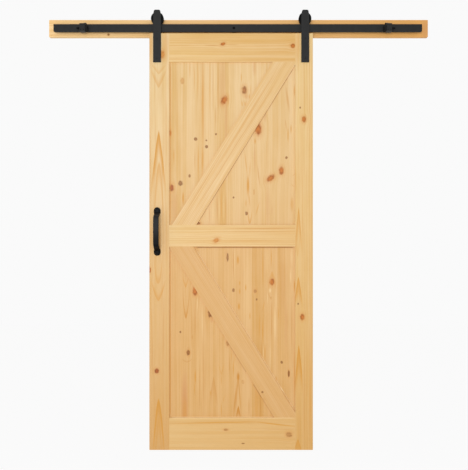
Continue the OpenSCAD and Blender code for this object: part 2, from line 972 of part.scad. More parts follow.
// Half of a wheel's section: radius across, width upwards from the middle of the tread
module wheel_section() {
    half_w = wheel_w / 2;
    seat_w = bearing_w / 2;
    seat_r = bearing_r + fit_gap;
    polygon([
        [seat_r, half_w], [hub_r, half_w], [hub_r + web_dish / 2, half_w - web_dish],
        [web_rim_r - web_dish / 2, half_w - web_dish], [web_rim_r, half_w],
        [flange_r - flange_chamfer, half_w], [flange_r, half_w - flange_chamfer],
        [flange_r, groove_mouth_w / 2], [tread_r, groove_w / 2], [tread_r, -groove_w / 2],
        [flange_r, -groove_mouth_w / 2], [flange_r, -half_w + flange_chamfer],
        [flange_r - flange_chamfer, -half_w], [web_rim_r, -half_w],
        [web_rim_r - web_dish / 2, -half_w + web_dish], [hub_r + web_dish / 2, -half_w + web_dish],
        [hub_r, -half_w], [wheel_lip_r, -half_w], [wheel_lip_r, -seat_w], [seat_r, -seat_w]
    ]);
}

// Turns a section about the axle, with its height towards the wall
module turned() {
    rotate([-90, 0, 0])
        rotate_extrude()
            children();
}

module wheel(side) {
    color(BLACK_NYLON)
        on_wheel(side)
            turned()
                wheel_section();
}

// One ring of the bearing, with the race that the balls run in
module bearing_ring(from_r, to_r) {
    turned()
        difference() {
            translate([from_r, -bearing_w / 2])
                square([to_r - from_r, bearing_w]);
            translate([ball_pitch_r, 0])
                circle(race_r);
        }
}

module bearing_inner_ring(side) {
    color(BRIGHT_STEEL)
        on_wheel(side)
            bearing_ring(axle_r, inner_ring_r);
}

module bearing_outer_ring(side) {
    color(BRIGHT_STEEL)
        on_wheel(side)
            bearing_ring(outer_ring_bore_r, bearing_r);
}

module bearing_shields(side) {
    color(BLACK_STEEL)
        on_wheel(side)
            for (y = [-bearing_w / 2 + clear_gap, bearing_w / 2 - clear_gap - shield_t])
                translate([0, y, 0])
                    tube_y(outer_ring_bore_r - fit_gap, inner_ring_r + clear_gap, shield_t);
}

module ball_places() {
    for (i = [0 : ball_count - 1])
        rotate([0, 360 * i / ball_count, 0])
            translate([ball_pitch_r, 0, 0])
                children();
}

module bearing_cage(side) {
    color(BLACK_NYLON)
        on_wheel(side)
            difference() {
                translate([0, -cage_w / 2, 0])
                    tube_y(ball_pitch_r + cage_half_wall, ball_pitch_r - cage_half_wall, cage_w);
                ball_places()
                    rotate([0, 90, 0])
                        cylinder(r = ball_r + fit_gap, h = 2 * cage_half_wall + 2 * over, center = true);
            }
}

module bearing_balls(side) {
    color(BRIGHT_STEEL)
        on_wheel(side)
            ball_places()
                sphere(ball_r);
}

// Pull handle

// Points of the bar's section about its middle, as (thickness, width), with four round corners
function bar_section() = [
    for (corner = [0 : 3], step = [0 : corner_steps])
        let (
            turn = 90 * (corner + step / corner_steps),
            sign_t = corner == 0 || corner == 3 ? 1 : -1,
            sign_w = corner < 2 ? 1 : -1
        )
        [
            sign_t * (grip_t / 2 - grip_edge_r) + grip_edge_r * cos(turn),
            sign_w * (grip_w / 2 - grip_edge_r) + grip_edge_r * sin(turn)
        ]
];

// Stations along the upper half of the bar, as [reach, height, tilt]: bowed grip, bend and straight arm
function upper_stations() = concat(
    [
        for (step = [0 : grip_steps])
            let (tilt = grip_half_angle * step / grip_steps)
            [grip_bow_centre + grip_bow_r * cos(tilt), grip_bow_r * sin(tilt), tilt]
    ],
    [
        for (step = [1 : bend_steps])
            let (
                tilt = grip_half_angle + (arm_slope - grip_half_angle) * step / bend_steps,
                centre_r = grip_bow_r - arm_bend_r
            )
            [
                grip_bow_centre + centre_r * cos(grip_half_angle) + arm_bend_r * cos(tilt),
                centre_r * sin(grip_half_angle) + arm_bend_r * sin(tilt),
                tilt
            ]
    ],
    [[handle_arm_end, handle_foot_pitch / 2, arm_slope]]
);

// The whole bar, from the lower foot to the upper one, standing out along -Y
module handle_bar() {
    upper = upper_stations();
    lower = [for (i = [len(upper) - 1 : -1 : 1]) [upper[i][0], -upper[i][1], -upper[i][2]]];
    stations = concat(lower, upper);
    section = bar_section();
    n = len(section);
    last = len(stations) - 1;
    polyhedron(
        points = [
            for (s = stations, p = section)
                [p[1], -s[0] - p[0] * cos(s[2]), s[1] + p[0] * sin(s[2])]
        ],
        faces = concat(
            [[for (k = [0 : n - 1]) k]],
            [[for (k = [n - 1 : -1 : 0]) last * n + k]],
            [
                for (j = [0 : last - 1], k = [0 : n - 1])
                    let (next = (k + 1) % n)
                    [(j + 1) * n + k, (j + 1) * n + next, j * n + next, j * n + k]
            ]
        )
    );
}

// A round foot with a domed top, standing out along -Y
module handle_foot() {
    rotate([90, 0, 0])
        rotate_extrude()
            intersection() {
                translate([0, foot_h - foot_dome_r])
                    circle(foot_dome_r);
                square([foot_r, foot_h]);
            }
}

module pull_handle() {
    color(BLACK_STEEL)
        on_door()
            difference() {
                union() {
                    translate([handle_inset, 0, handle_rise])
                        handle_bar();
                    for (z = handle_foot_heights)
                        translate([handle_inset, 0, z])
                            handle_foot();
                }
                for (z = handle_foot_heights)
                    translate([handle_inset, -handle_screw_depth - fit_gap, z])
                        rod_y(handle_screw_r + fit_gap, handle_screw_depth + fit_gap + over);
            }
}

module handle_screws() {
    color(BRIGHT_STEEL)
        on_door()
            for (z = handle_foot_heights)
                translate([handle_inset, door_t, z])
                    rotate([0, 0, 180])
                        flush_screw(handle_screw_r, handle_screw_head_r, door_t + handle_screw_depth);
}

header_board();
rail();
for (i = [1 : len(bolt_places)]) rail_spacer(i - 1);
rail_bolts();
stop_set_screws();
left_stile();
right_stile();
top_rail();
mid_rail();
bottom_rail();
upper_panel();
lower_panel();
front_upper_brace();
front_lower_brace();
back_upper_brace();
back_lower_brace();
frame_dowels();
hanger_bolts();
hanger_nuts();
jump_disc_screws();
pull_handle();
handle_screws();
for (side = SIDES) {
    stop_block(side);
    stop_bumper(side);
    stop_stud(side);
    stop_nut(side);
    hanger_strap(side);
    axle_bolt(side);
    axle_spacer(side);
    bearing_inner_ring(side);
    jump_disc(side);
    wheel(side);
    bearing_outer_ring(side);
    bearing_shields(side);
    bearing_cage(side);
    bearing_balls(side);
}
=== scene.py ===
"""Looks of a pine barn door that slides on a flat black rail: finishes, threads, light and camera."""

import json
import math
from dataclasses import dataclass, field

import bpy
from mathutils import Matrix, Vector


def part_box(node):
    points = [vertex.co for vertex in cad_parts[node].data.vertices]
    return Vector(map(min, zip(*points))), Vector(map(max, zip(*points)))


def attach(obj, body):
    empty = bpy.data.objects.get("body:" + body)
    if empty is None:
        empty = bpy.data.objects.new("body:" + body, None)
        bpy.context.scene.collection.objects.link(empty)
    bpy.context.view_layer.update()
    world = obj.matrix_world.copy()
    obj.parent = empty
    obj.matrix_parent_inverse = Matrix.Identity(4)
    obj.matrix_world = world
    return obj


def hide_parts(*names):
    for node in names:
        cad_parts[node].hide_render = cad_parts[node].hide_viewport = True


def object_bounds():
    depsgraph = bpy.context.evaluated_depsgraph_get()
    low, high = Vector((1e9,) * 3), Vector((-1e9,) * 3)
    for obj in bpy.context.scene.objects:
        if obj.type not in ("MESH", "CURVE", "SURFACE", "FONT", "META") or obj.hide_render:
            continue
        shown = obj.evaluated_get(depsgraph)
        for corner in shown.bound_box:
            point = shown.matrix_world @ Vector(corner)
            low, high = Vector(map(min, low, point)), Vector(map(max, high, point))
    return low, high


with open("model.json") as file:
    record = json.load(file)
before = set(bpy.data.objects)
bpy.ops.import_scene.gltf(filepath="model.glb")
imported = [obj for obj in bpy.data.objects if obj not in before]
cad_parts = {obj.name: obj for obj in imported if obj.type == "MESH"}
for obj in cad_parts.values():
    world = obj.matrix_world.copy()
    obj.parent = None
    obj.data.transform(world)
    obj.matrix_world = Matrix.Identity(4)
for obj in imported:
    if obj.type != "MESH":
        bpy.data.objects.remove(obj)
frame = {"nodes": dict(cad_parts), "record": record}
cad_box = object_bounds()

# The photograph's frame and the camera that takes it in
PHOTO_W = 468
PHOTO_H = 470
SENSOR_MM = 36.0
CAMERA = Vector((-0.0234, -3.063, -1.073))
# Size of a photo pixel on the leaf's front face, and that face's distance from the camera
PIXEL_AT_LEAF = 0.005122
LEAF_DISTANCE = 3.0
MM = 0.001


def at_pixel(column, row, y):
    """The point that a photo pixel shows on a plane at a given y."""
    size = PIXEL_AT_LEAF * (y - CAMERA.y) / LEAF_DISTANCE
    return Vector((CAMERA.x + (column - PHOTO_W / 2) * size, y, CAMERA.z - (row - PHOTO_H / 2) * size))


def middle_of(node):
    low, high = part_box(node)
    return (low + high) / 2


def put(name, data):
    """A new object in the scene, for a mesh, a lamp or a camera."""
    made = bpy.data.objects.new(name, data)
    bpy.context.scene.collection.objects.link(made)
    return made


def tint(red, green, blue):
    """A colour written as it should look on a screen, from 0 to 255, made linear."""
    def linear(value):
        share = value / 255
        return share / 12.92 if share <= 0.04045 else ((share + 0.055) / 1.055) ** 2.4
    return (linear(red), linear(green), linear(blue), 1.0)


# Shader maths

class Shade:
    """A socket in a material's node tree. Sums of shades add Math nodes to that tree."""

    def __init__(self, tree, socket):
        self.tree = tree
        self.socket = socket

    def node(self, kind, settings=None, sockets=None, out=0):
        """Adds any node: its settings first, then the values or links of its sockets."""
        made = self.tree.nodes.new(kind)
        for name, value in (settings or {}).items():
            if name == "stops":
                set_stops(made.color_ramp, value)
            elif name == "ramp":
                made.color_ramp.interpolation = value
            else:
                setattr(made, name, value)
        for name, value in (sockets or {}).items():
            if isinstance(value, Shade):
                self.tree.links.new(value.socket, made.inputs[name])
            else:
                made.inputs[name].default_value = value
        return Shade(self.tree, made.outputs[out])

    def math(self, operation, *others):
        return self.node("ShaderNodeMath", {"operation": operation}, dict(enumerate((self, *others))))

    def __add__(self, other):
        return self.math("ADD", other)

    def __sub__(self, other):
        return self.math("SUBTRACT", other)

    def __rsub__(self, other):
        return self.node("ShaderNodeMath", {"operation": "SUBTRACT"}, {0: other, 1: self})

    def __mul__(self, other):
        return self.math("MULTIPLY", other)

    def __truediv__(self, other):
        return self.math("DIVIDE", other)

    def between(self, low, high, first=0.0, last=1.0):
        """One value below low, another above high, and a smooth change from the first to the last."""
        return self.node(
            "ShaderNodeMapRange", {"interpolation_type": "SMOOTHSTEP"},
            {"Value": self, "From Min": low, "From Max": high, "To Min": first, "To Max": last})

    def most(self, other):
        return self.math("MAXIMUM", other)

    def length(self):
        return self.node("ShaderNodeVectorMath", {"operation": "LENGTH"}, {0: self}, out="Value")

    def along_axis(self, axis):
        return self.node(
            "ShaderNodeVectorMath", {"operation": "DOT_PRODUCT"}, {0: self, 1: axis}, out="Value")

    def parts(self, kind="ShaderNodeSeparateXYZ"):
        """The three parts of a vector, or of a colour with the node that splits colours."""
        split = self.node(kind, sockets={0: self}).socket.node
        return [Shade(self.tree, socket) for socket in split.outputs]

    def stretched(self, across, depth, along):
        """This place measured in steps of the given lengths."""
        return self.node(
            "ShaderNodeVectorMath", {"operation": "DIVIDE"}, {0: self, 1: (across, depth, along)})

    def cells(self, size):
        """This place measured in even steps."""
        return self.stretched(size, size, size)

    def noise(self, detail=2.0, rough=0.5, seed=0.0):
        """Soft noise from 0 to 1 over this place, a step wide."""
        return self.node(
            "ShaderNodeTexNoise", {"noise_dimensions": "4D"},
            {"Vector": self, "W": seed, "Scale": 1.0, "Detail": detail, "Roughness": rough})

    def tinted(self, none, all):
        """From one plain colour where this is 0 to another where it is 1."""
        return self.node("ShaderNodeMix", {"data_type": "RGBA"}, {0: self, 6: none, 7: all}, out=2)

    def mixed(self, other, share, blend="MIX"):
        """This colour with a share of another colour laid over it."""
        return self.node(
            "ShaderNodeMix", {"data_type": "RGBA", "blend_type": blend}, {0: share, 6: self, 7: other}, out=2)


def set_stops(ramp, stops):
    while len(ramp.elements) < len(stops):
        ramp.elements.new(1.0)
    for element, (place, colour) in zip(ramp.elements, stops):
        element.position = place
        element.color = colour


class Finish:
    """A material under way: its tree, the place on the surface, and the shader at its end."""

    def __init__(self, name):
        self.material = bpy.data.materials.new(name)
        self.material.use_nodes = True
        self.tree = self.material.node_tree
        self.shader = self.tree.nodes["Principled BSDF"]
        start = self.tree.nodes.new("ShaderNodeTexCoord")
        self.place = Shade(self.tree, start.outputs["Object"])
        self.facing = Shade(self.tree, start.outputs["Normal"])

    def millimetres(self, middle=(0, 0, 0), lean=0.0):
        """The place in mm from a middle, turned about Y."""
        return self.place.node(
            "ShaderNodeMapping", {"vector_type": "TEXTURE"},
            {"Vector": self.place, "Location": middle, "Rotation": (0, math.radians(lean), 0),
             "Scale": (MM, MM, MM)})

    def plain(self, **values):
        """Values that are the same all over, on the shader's own sockets."""
        for name, value in values.items():
            self.shader.inputs[name.replace("_", " ")].default_value = value

    def done(self, colour, rough, height, depth, strength, **values):
        """The material, with its colour, its roughness and a relief of the given depth in metres."""
        bump = height.node(
            "ShaderNodeBump", sockets={"Height": height, "Distance": depth, "Strength": strength})
        for socket, shade in (("Base Color", colour), ("Roughness", rough), ("Normal", bump)):
            self.tree.links.new(shade.socket, self.shader.inputs[socket])
        self.plain(**values)
        return self.material


# Pine boards

CREAM = tint(229, 190, 124)
HONEY = tint(212, 161, 88)
AMBER = tint(200, 139, 58)
# Painted shading: the darker tone that a board leans to at its shaded end, standing in for the light and its
# sheen falling off across the door
PAINTED_FALLOFF_TONE = tint(204, 147, 70)
HALO = tint(208, 144, 74)
BLUSH = tint(219, 170, 112)
SAWN_END = tint(205, 158, 98)
KNOTS = {
    "brown": (tint(156, 100, 46), tint(104, 58, 18)),
    "red": (tint(194, 112, 36), tint(134, 66, 16)),
    "amber": (tint(208, 140, 64), tint(178, 106, 42)),
    "pin": (tint(160, 110, 60), tint(120, 78, 40)),
    "faint": (tint(212, 164, 102), tint(196, 144, 84)),
    "rust": (tint(168, 86, 32), tint(116, 54, 16)),
    "tan": (tint(190, 138, 80), tint(158, 108, 58)),
    "ring": (tint(174, 114, 60), tint(108, 58, 20)),
}
# Degrees that a board's grain leans to the right from upright: a level board, and the braces
LEVEL = 90
UPPER_LEAN = 31.7
LOWER_LEAN = -31.8
# Shares of a knot's glow, of a knot itself, of the fibres and of the sawn ends' colour
HALO_SHARE = 0.4
KNOT_SHARE = 0.9
FIBRE_SHARE = 0.14
SAWN_SHARE = 0.5
# How fast a knot's push on the grain falls off, and its share
PUSH_FALL = 0.22
PUSH_SHARE = 0.75
# How much a knot's rim wanders, how much a ring wavers, and what spreads noise to about -1 to 1
RIM_WANDER = 0.28
RING_WAVER = 0.5
NOISE_SPREAD = 2.6
# Sideways drift of the rings and sway of the marks, in mm
RING_DRIFT = 5
MARK_SWAY = 1.6
# Distances in the log, across and along, between staves whose phases differ by 1, in mm
STAVE_ACROSS = 800
STAVE_ALONG = 1900
# Widths of narrow streaks, hairlines and blushes, as shares of a broad streak's
NARROW_WIDTH = 0.3
HAIR_WIDTH = 0.1
BLUSH_WIDTH = 0.9
# Shares of broad streaks, narrow ones, hairlines and blotches in a board's tone
BROAD_SHARE = 0.34
NARROW_SHARE = 0.26
HAIR_SHARE = 0.12
BLOTCH_SHARE = 0.12
# Roughness of planed pine, and what late wood and fibres add to it
PINE_ROUGH = 0.42
LATE_ROUGH = 0.06
FIBRE_ROUGH = 0.12
STREAKS = {
    "dark": tint(198, 138, 66),
    "light": tint(236, 202, 148),
    "pink": tint(206, 150, 96),
    "orange": tint(208, 148, 64),
    # deep orange of the grain, also used as painted shadow beside the left stile and beside the pull
    "deep": tint(198, 134, 50),
    # painted shadow along joints and edges, where the shade of a rail or brace falls
    "painted_shadow": tint(150, 98, 46),
    # painted highlight on edges and side faces that the lamps leave dark
    "painted_highlight": tint(250, 222, 172),
}


@dataclass
class Knot:
    """A knot, placed and sized in photo pixels."""
    column: float
    row: float
    wide: float
    tall: float
    kind: str = "red"
    lean: float = 0.0


@dataclass
class Streak:
    """A line along the grain through a photo pixel, with its width and length in pixels."""
    column: float
    row: float
    wide: float
    long: float
    share: float = 0.6
    kind: str = "orange"


@dataclass
class Flame:
    """A ring's tip on a flat-sawn face: its photo pixel, half width and length in pixels, 1 for a tip that
    points up or right, how round the tip is, and how far the ring's colour reaches inwards."""
    column: float
    row: float
    wide: float
    long: float
    way: int = 1
    share: float = 0.6
    round: float = 1.6
    inside: float = 0.5
    kind: str = "orange"


@dataclass
class Line:
    """A sharp line between two photo pixels: painted shadow along a joint or an edge, or a painted highlight
    on an edge that the lamps leave dark.
    """
    start: tuple
    end: tuple
    wide: float = 0.8
    share: float = 0.6
    kind: str = "painted_shadow"


class Grain(Line):
    """A soft line which leans: mostly a line of the grain, and in two places painted shade or a painted
    highlight along a brace's edge.
    """


@dataclass
class Stave:
    """A strip of a glued panel: the photo column where it starts, its tone and its place in the log."""
    column: float
    tone: float
    phase: float


@dataclass
class Board:
    """How a board was sawn and how it looks. Lengths on it are in mm from its middle."""
    node: str
    seed: float
    lean: float = 0.0
    light: tuple = CREAM
    dark: tuple = HONEY
    line: tuple = AMBER
    heart: float = 0.0
    pith_depth: float = 30.0
    ring: float = 8.0
    line_share: float = 0.35
    # Share of fine dark lines, and of a pinkish tone in broad streaks
    fine: float = 0.3
    blush: float = 0.3
    streak: float = 20.0
    contrast: float = 1.0
    # Painted shading: a darker tone, and its share at the board's top or right end and at its other end,
    # standing in for the light and its sheen falling off
    painted_falloff_tone: tuple = PAINTED_FALLOFF_TONE
    painted_falloff: tuple = (0.0, 0.0)
    marks: list = field(default_factory=list)
    staves: list = field(default_factory=list)


class Pine:
    """Builds one board's material step by step."""

    def __init__(self, board):
        self.board = board
        self.turn = math.radians(board.lean)
        self.finish = Finish("pine_" + board.node)
        low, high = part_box(board.node)
        self.middle = (low + high) / 2
        self.front = low.y
        self.size = (high - low) / MM
        self.spot = self.finish.millimetres(self.middle, board.lean)
        self.across, self.depth, self.along = self.spot.parts()
        self.pixel = (at_pixel(1, 0, self.front) - at_pixel(0, 0, self.front)).x / MM
        self.length = abs(self.size.x * math.sin(self.turn)) + abs(self.size.z * math.cos(self.turn))

    def local(self, column, row):
        """A photo pixel's place across and along the board, in mm."""
        offset = at_pixel(column, row, self.front) - self.middle
        across = offset.x * math.cos(self.turn) - offset.z * math.sin(self.turn)
        along = offset.x * math.sin(self.turn) + offset.z * math.cos(self.turn)
        return across / MM, along / MM

    def noise(self, across, along, seed, detail=2.0, place=None):
        """Noise from about -1 to 1, drawn out along the grain."""
        place = place or self.spot
        cells = place.stretched(across, across * 2, along)
        return (cells.noise(detail, seed=self.board.seed + seed) - 0.5) * NOISE_SPREAD

    def reach(self, knot):
        """0 at a knot's middle and 1 at its rim, which wanders."""
        middle = self.local(knot.column, knot.row)
        wide, tall = (knot.tall, knot.wide) if self.board.lean == LEVEL else (knot.wide, knot.tall)
        return self.away(self.spot, middle, math.radians(knot.lean), wide, tall) + self.wander

    def knots(self):
        """Cores and rims by kind, the glow round the knots, and how far they push the grain aside."""
        self.wander = self.noise(across=7, along=10, seed=1) * RIM_WANDER
        patch = (self.noise(across=11, along=14, seed=2) + 0.55).between(0.0, 1.0)
        self.cores = {}
        self.rims = {}
        self.halo = None
        self.push = None
        for knot in [mark for mark in self.board.marks if isinstance(mark, Knot)]:
            reach = self.reach(knot)
            core = reach.between(0.5, 1.25, 1.0, 0.0)
            rim = core * reach.between(0.1, 0.9) * patch
            if knot.kind in self.cores:
                core = core.most(self.cores[knot.kind])
                rim = rim.most(self.rims[knot.kind])
            self.cores[knot.kind] = core
            self.rims[knot.kind] = rim
            if knot.kind in ("pin", "faint"):
                continue
            halo = reach.between(0.7, 2.3, 1.0, 0.0)
            self.halo = halo if self.halo is None else halo.most(self.halo)
            aside = self.local(knot.column, knot.row)[0] - self.across
            push = (reach * reach * -PUSH_FALL).math("EXPONENT") * aside
            self.push = push if self.push is None else push + self.push

    def stave_values(self):
        """Tone and place in the log of the stave under each point of a glued panel."""
        width = self.size.x
        edge = -width / 2
        stops = []
        for i, stave in enumerate(self.board.staves):
            place = 0.0 if i == 0 else (self.local(stave.column, 0)[0] - edge) / width
            stops.append((place, (stave.tone, stave.phase, 0.0, 1.0)))
        share = (self.across - edge) / width
        ramp = share.node("ShaderNodeValToRGB", {"ramp": "CONSTANT", "stops": stops}, {"Fac": share})
        return ramp.parts("ShaderNodeSeparateColor")[:2]

    def grain(self):
        """The board's tone, its late wood and its fibres, each from about 0 to 1."""
        board = self.board
        across, along = self.across, self.along
        if self.push is not None:
            across = across + self.push * PUSH_SHARE
        tone = 0.5
        if board.staves:
            tone, phase = self.stave_values()
            across = across + phase * STAVE_ACROSS
            along = along + phase * STAVE_ALONG
        log = self.spot.node("ShaderNodeCombineXYZ", sockets={"X": across, "Y": self.depth, "Z": along})
        wide = self.noise(board.streak, along=1100, seed=11, place=log)
        narrow = self.noise(board.streak * NARROW_WIDTH, along=620, seed=12, place=log)
        hair = self.noise(board.streak * HAIR_WIDTH, along=300, seed=13, place=log)
        blotch = self.noise(across=55, along=120, seed=14)
        streaks = wide * BROAD_SHARE + narrow * NARROW_SHARE + hair * HAIR_SHARE + blotch * BLOTCH_SHARE
        self.tone = streaks * board.contrast + tone
        drift = self.noise(across=900, along=420, seed=3, detail=1.0) * RING_DRIFT
        sideways = across - board.heart + drift
        deep = self.depth - board.pith_depth
        waver = self.noise(across=30, along=300, seed=5) * RING_WAVER
        rings = (sideways * sideways + deep * deep).math("SQRT") / board.ring + waver
        saw = rings.math("FRACT")
        late = saw.between(0.2, 0.85) * (1 - saw.between(0.85, 1.0))
        strength = self.noise(across=20, along=260, seed=7, place=log) * 0.6 + 0.5
        self.late = late * strength.between(0.0, 1.0)
        self.fine = self.noise(across=5.5, along=520, seed=23, place=log).between(0.1, 1.0)
        self.blush = self.noise(board.streak * BLUSH_WIDTH, along=760, seed=25, place=log).between(0.0, 0.9)
        self.fibre = self.spot.stretched(0.9, 0.9, 45).noise(detail=3.0, rough=0.6, seed=board.seed + 17)
        sway = self.noise(across=60, along=130, seed=19, detail=1.0) * MARK_SWAY
        self.swayed = self.spot.node(
            "ShaderNodeCombineXYZ", sockets={"X": self.across + sway, "Y": self.depth, "Z": self.along})

    def measured(self, place, middle, turn, wide, long):
        """How far a place lies from a middle, in widths across and in lengths along a turned axis."""
        across = Vector((math.cos(turn), 0, -math.sin(turn))) / wide
        along = Vector((math.sin(turn), 0, math.cos(turn))) / long
        start = Vector((middle[0], 0, middle[1]))
        return place.along_axis(across) - across.dot(start), place.along_axis(along) - along.dot(start)

    def away(self, place, middle, turn, wide, long):
        """0 at the middle of an ellipse of photo pixels and 1 at its rim."""
        half = self.pixel / 2
        side, end = self.measured(place, middle, turn, wide * half, long * half)
        return place.node("ShaderNodeCombineXYZ", sockets={"X": side, "Z": end}).length()

    def spindle(self, middle, turn, wide, long, share):
        """A share that fades from the middle of a long, thin ellipse to its rim."""
        return self.away(self.swayed, middle, turn, wide, long).between(0.2, 1.25, share, 0.0)

    def streak_mask(self, streak):
        return self.spindle(self.local(streak.column, streak.row), 0, streak.wide, streak.long, streak.share)

    def flame_mask(self, flame):
        tip = self.local(flame.column, flame.row)
        long = -flame.way * flame.long * self.pixel
        side, back = self.measured(self.swayed, tip, 0, flame.wide * self.pixel, long)
        depth = back - side.math("ABSOLUTE").math("POWER", flame.round)
        rise = depth.between(-0.02, 0.05) * depth.between(0.03, flame.inside, 1.0, 0.0)
        return rise * back.between(0.5, 1.15, flame.share, 0.0)

    def course(self, line):
        """A line's middle on the board, its turn and its length in mm."""
        first = Vector(self.local(*line.start))
        last = Vector(self.local(*line.end))
        across, along = last - first
        return (first + last) / 2, math.atan2(across, along), math.hypot(across, along)

    def grain_mask(self, line):
        middle, turn, long = self.course(line)
        return self.spindle(middle, turn, line.wide, long / self.pixel, line.share)

    def line_mask(self, line):
        middle, turn, long = self.course(line)
        side, end = self.measured(self.spot, middle, turn, line.wide * self.pixel / 2, long / 2)
        edge = side.math("ABSOLUTE").between(0.5, 1.5, line.share, 0.0)
        return edge * end.math("ABSOLUTE").between(0.92, 1.0, 1.0, 0.0)

    MASKS = {Streak: streak_mask, Flame: flame_mask, Grain: grain_mask, Line: line_mask}

    def marked(self, colour, marks):
        """A colour with marks laid over it, those of one kind in one layer."""
        layers = {}
        for mark in marks:
            mask = self.MASKS[type(mark)](self, mark)
            layers[mark.kind] = mask.most(layers[mark.kind]) if mark.kind in layers else mask
        for kind, mask in layers.items():
            colour = colour.mixed(STREAKS[kind], mask)
        return colour

    def colour(self):
        board = self.board
        colour = self.tone.between(0.0, 1.0).tinted(board.light, board.dark)
        colour = colour.mixed(BLUSH, self.blush * board.blush)
        colour = colour.mixed(board.line, self.late * board.line_share)
        colour = colour.mixed(board.line, self.fine * board.fine)
        # Painted shading along the board: darker towards one end, as the light and its sheen fall off
        far, near = board.painted_falloff
        if far or near:
            share = self.along / self.length * (far - near) + (far + near) / 2
            colour = colour.mixed(board.painted_falloff_tone, share)
        marks = [mark for mark in board.marks if not isinstance(mark, Knot)]
        # Painted shadows and painted highlights along edges, laid over everything else
        painted_edge_lines = [mark for mark in marks if type(mark) is Line]
        colour = self.marked(colour, [mark for mark in marks if type(mark) is not Line])
        if self.halo is not None:
            colour = colour.mixed(HALO, self.halo * HALO_SHARE)
        for kind, core in self.cores.items():
            fill, rim = KNOTS[kind]
            colour = colour.mixed(fill, core * KNOT_SHARE)
            colour = colour.mixed(rim, self.rims[kind] * KNOT_SHARE)
        colour = self.marked(colour, painted_edge_lines)
        fibre = (self.fibre - 0.5) * FIBRE_SHARE + 1.0
        grey = fibre.node("ShaderNodeCombineColor", sockets={"Red": fibre, "Green": fibre, "Blue": fibre})
        colour = colour.mixed(grey, 1.0, "MULTIPLY")
        return colour.mixed(SAWN_END, self.end_grain() * SAWN_SHARE)

    def end_grain(self):
        """1 on the sawn ends, where the surface faces along the grain."""
        axis = (math.sin(self.turn), 0, math.cos(self.turn))
        return self.finish.facing.along_axis(axis).math("ABSOLUTE").between(0.6, 0.95)

    def made(self):
        self.knots()
        self.grain()
        rough = self.late * LATE_ROUGH + self.fibre * FIBRE_ROUGH + PINE_ROUGH
        relief = self.fibre * 0.5 + self.late * 0.3
        return self.finish.done(
            self.colour(), rough, relief, depth=0.0003, strength=0.2, Specular_IOR_Level=0.25)


LEFT_STILE = Board(
    "left_stile", seed=1.0, light=tint(237, 214, 174), dark=tint(221, 189, 128), heart=-2, ring=9,
    line_share=0.4, streak=22, contrast=0.8, painted_falloff=(0.0, 0.74),
    marks=[
        Knot(162.3, 54.5, 4.5, 8, "amber"),
        Knot(149.7, 270.1, 2.6, 5.5),
        Knot(156.7, 370.9, 4.6, 5.2, "rust"),
        Knot(159, 448, 3, 3, "faint"),
        Flame(158.8, 74.5, 9, 12, -1, 0.35, 1.2),
        Flame(158.6, 88.2, 9, 20, -1, 0.45, 1.2),
        Flame(158.6, 130, 8, 64, 1, 1.0, 1.3),
        Flame(159.0, 161, 6, 76, 1, 0.6, 2.0, 0.4),
        Flame(158.2, 284.3, 5, 34, -1, 0.6, 2.6, 0.4),
        Flame(158.3, 301.5, 8, 22, -1, 0.65, 1.5),
        Flame(158.6, 398, 6.5, 60, 1, 1.0, 1.7, 0.5),
        Flame(158.6, 416, 4, 50, 1, 0.6, 1.8),
        Streak(163.6, 330, 1.4, 70, 0.4, "dark"),
        Streak(152.2, 356, 1.4, 50, 0.4, "dark"),
        Streak(150.4, 165, 1.2, 90, 0.35, "dark"),
        Streak(165.5, 44, 8, 50, 0.45),
        Streak(150, 44, 7, 50, 0.55),
        Streak(150, 230, 3, 360, 0.22),
        Streak(158.5, 255, 26, 200, 0.12),
        Streak(150.6, 240, 3, 40, 0.42),
        Streak(166, 238, 9, 70, 0.22),
        # Painted shadow: deepens the pull's cast shadow beside its grip
        Streak(159.7, 239, 2.6, 44, 0.6, "deep"),
    ])
RIGHT_STILE = Board(
    "right_stile", seed=2.0, light=tint(234, 206, 157), dark=tint(219, 182, 110), heart=-24, ring=8,
    line_share=0.4, streak=16, contrast=0.85, painted_falloff=(0.0, 0.6),
    marks=[
        Knot(300.1, 107.5, 1.8, 2.2, "pin"),
        Knot(304.0, 119.2, 4.4, 6.2),
        Knot(298.1, 303.8, 1.6, 2, "pin"),
        Knot(302.4, 317.0, 4.4, 6.6),
        Flame(298.6, 207, 3.6, 44, 1, 0.8, 1.4, 0.8),
        Flame(297.6, 257, 3, 28, -1, 0.3),
        Flame(298.4, 276.5, 4.4, 30, 1, 0.9, 1.4, 1.0),
        Flame(298.8, 344.5, 4.6, 48, 1, 1.0, 1.4, 0.9),
        Flame(298, 439, 4.6, 16, 1, 0.75, 1.5, 1.2),
        Streak(310.2, 398, 2.2, 90, 0.6),
        Streak(304.6, 400, 1.0, 110, 0.4, "dark"),
        Streak(295.8, 180, 1.4, 30, 0.4),
        Streak(297.5, 44, 8, 52, 0.42),
    ])
TOP_RAIL = Board(
    "top_rail", seed=3.0, lean=LEVEL, light=tint(233, 202, 151), dark=tint(216, 172, 95), heart=40,
    ring=9, contrast=0.9, painted_falloff=(0.28, 0.0),
    marks=[
        Knot(223, 44, 5, 3.2, "red", -20),
        Knot(292.9, 45.9, 4.6, 4.6),
        Streak(213, 45.3, 1.2, 20, 0.6, "dark"),
        Streak(232, 44.6, 1.0, 14, 0.4, "dark"),
    ])
MID_RAIL = Board(
    "mid_rail", seed=4.0, lean=LEVEL, light=tint(234, 205, 156), dark=tint(219, 179, 110), heart=-60,
    ring=9, contrast=0.7, painted_falloff=(0.24, 0.0),
    marks=[
        Knot(216.4, 240.2, 6, 4.2, "amber", -35),
        Streak(262, 228.5, 1.6, 84, 0.55, "dark"),
        Streak(255, 231.8, 1.2, 96, 0.4, "dark"),
        Streak(240, 241, 3, 90, 0.3),
        Streak(240, 245.4, 1.2, 120, 0.6, "light"),
    ])
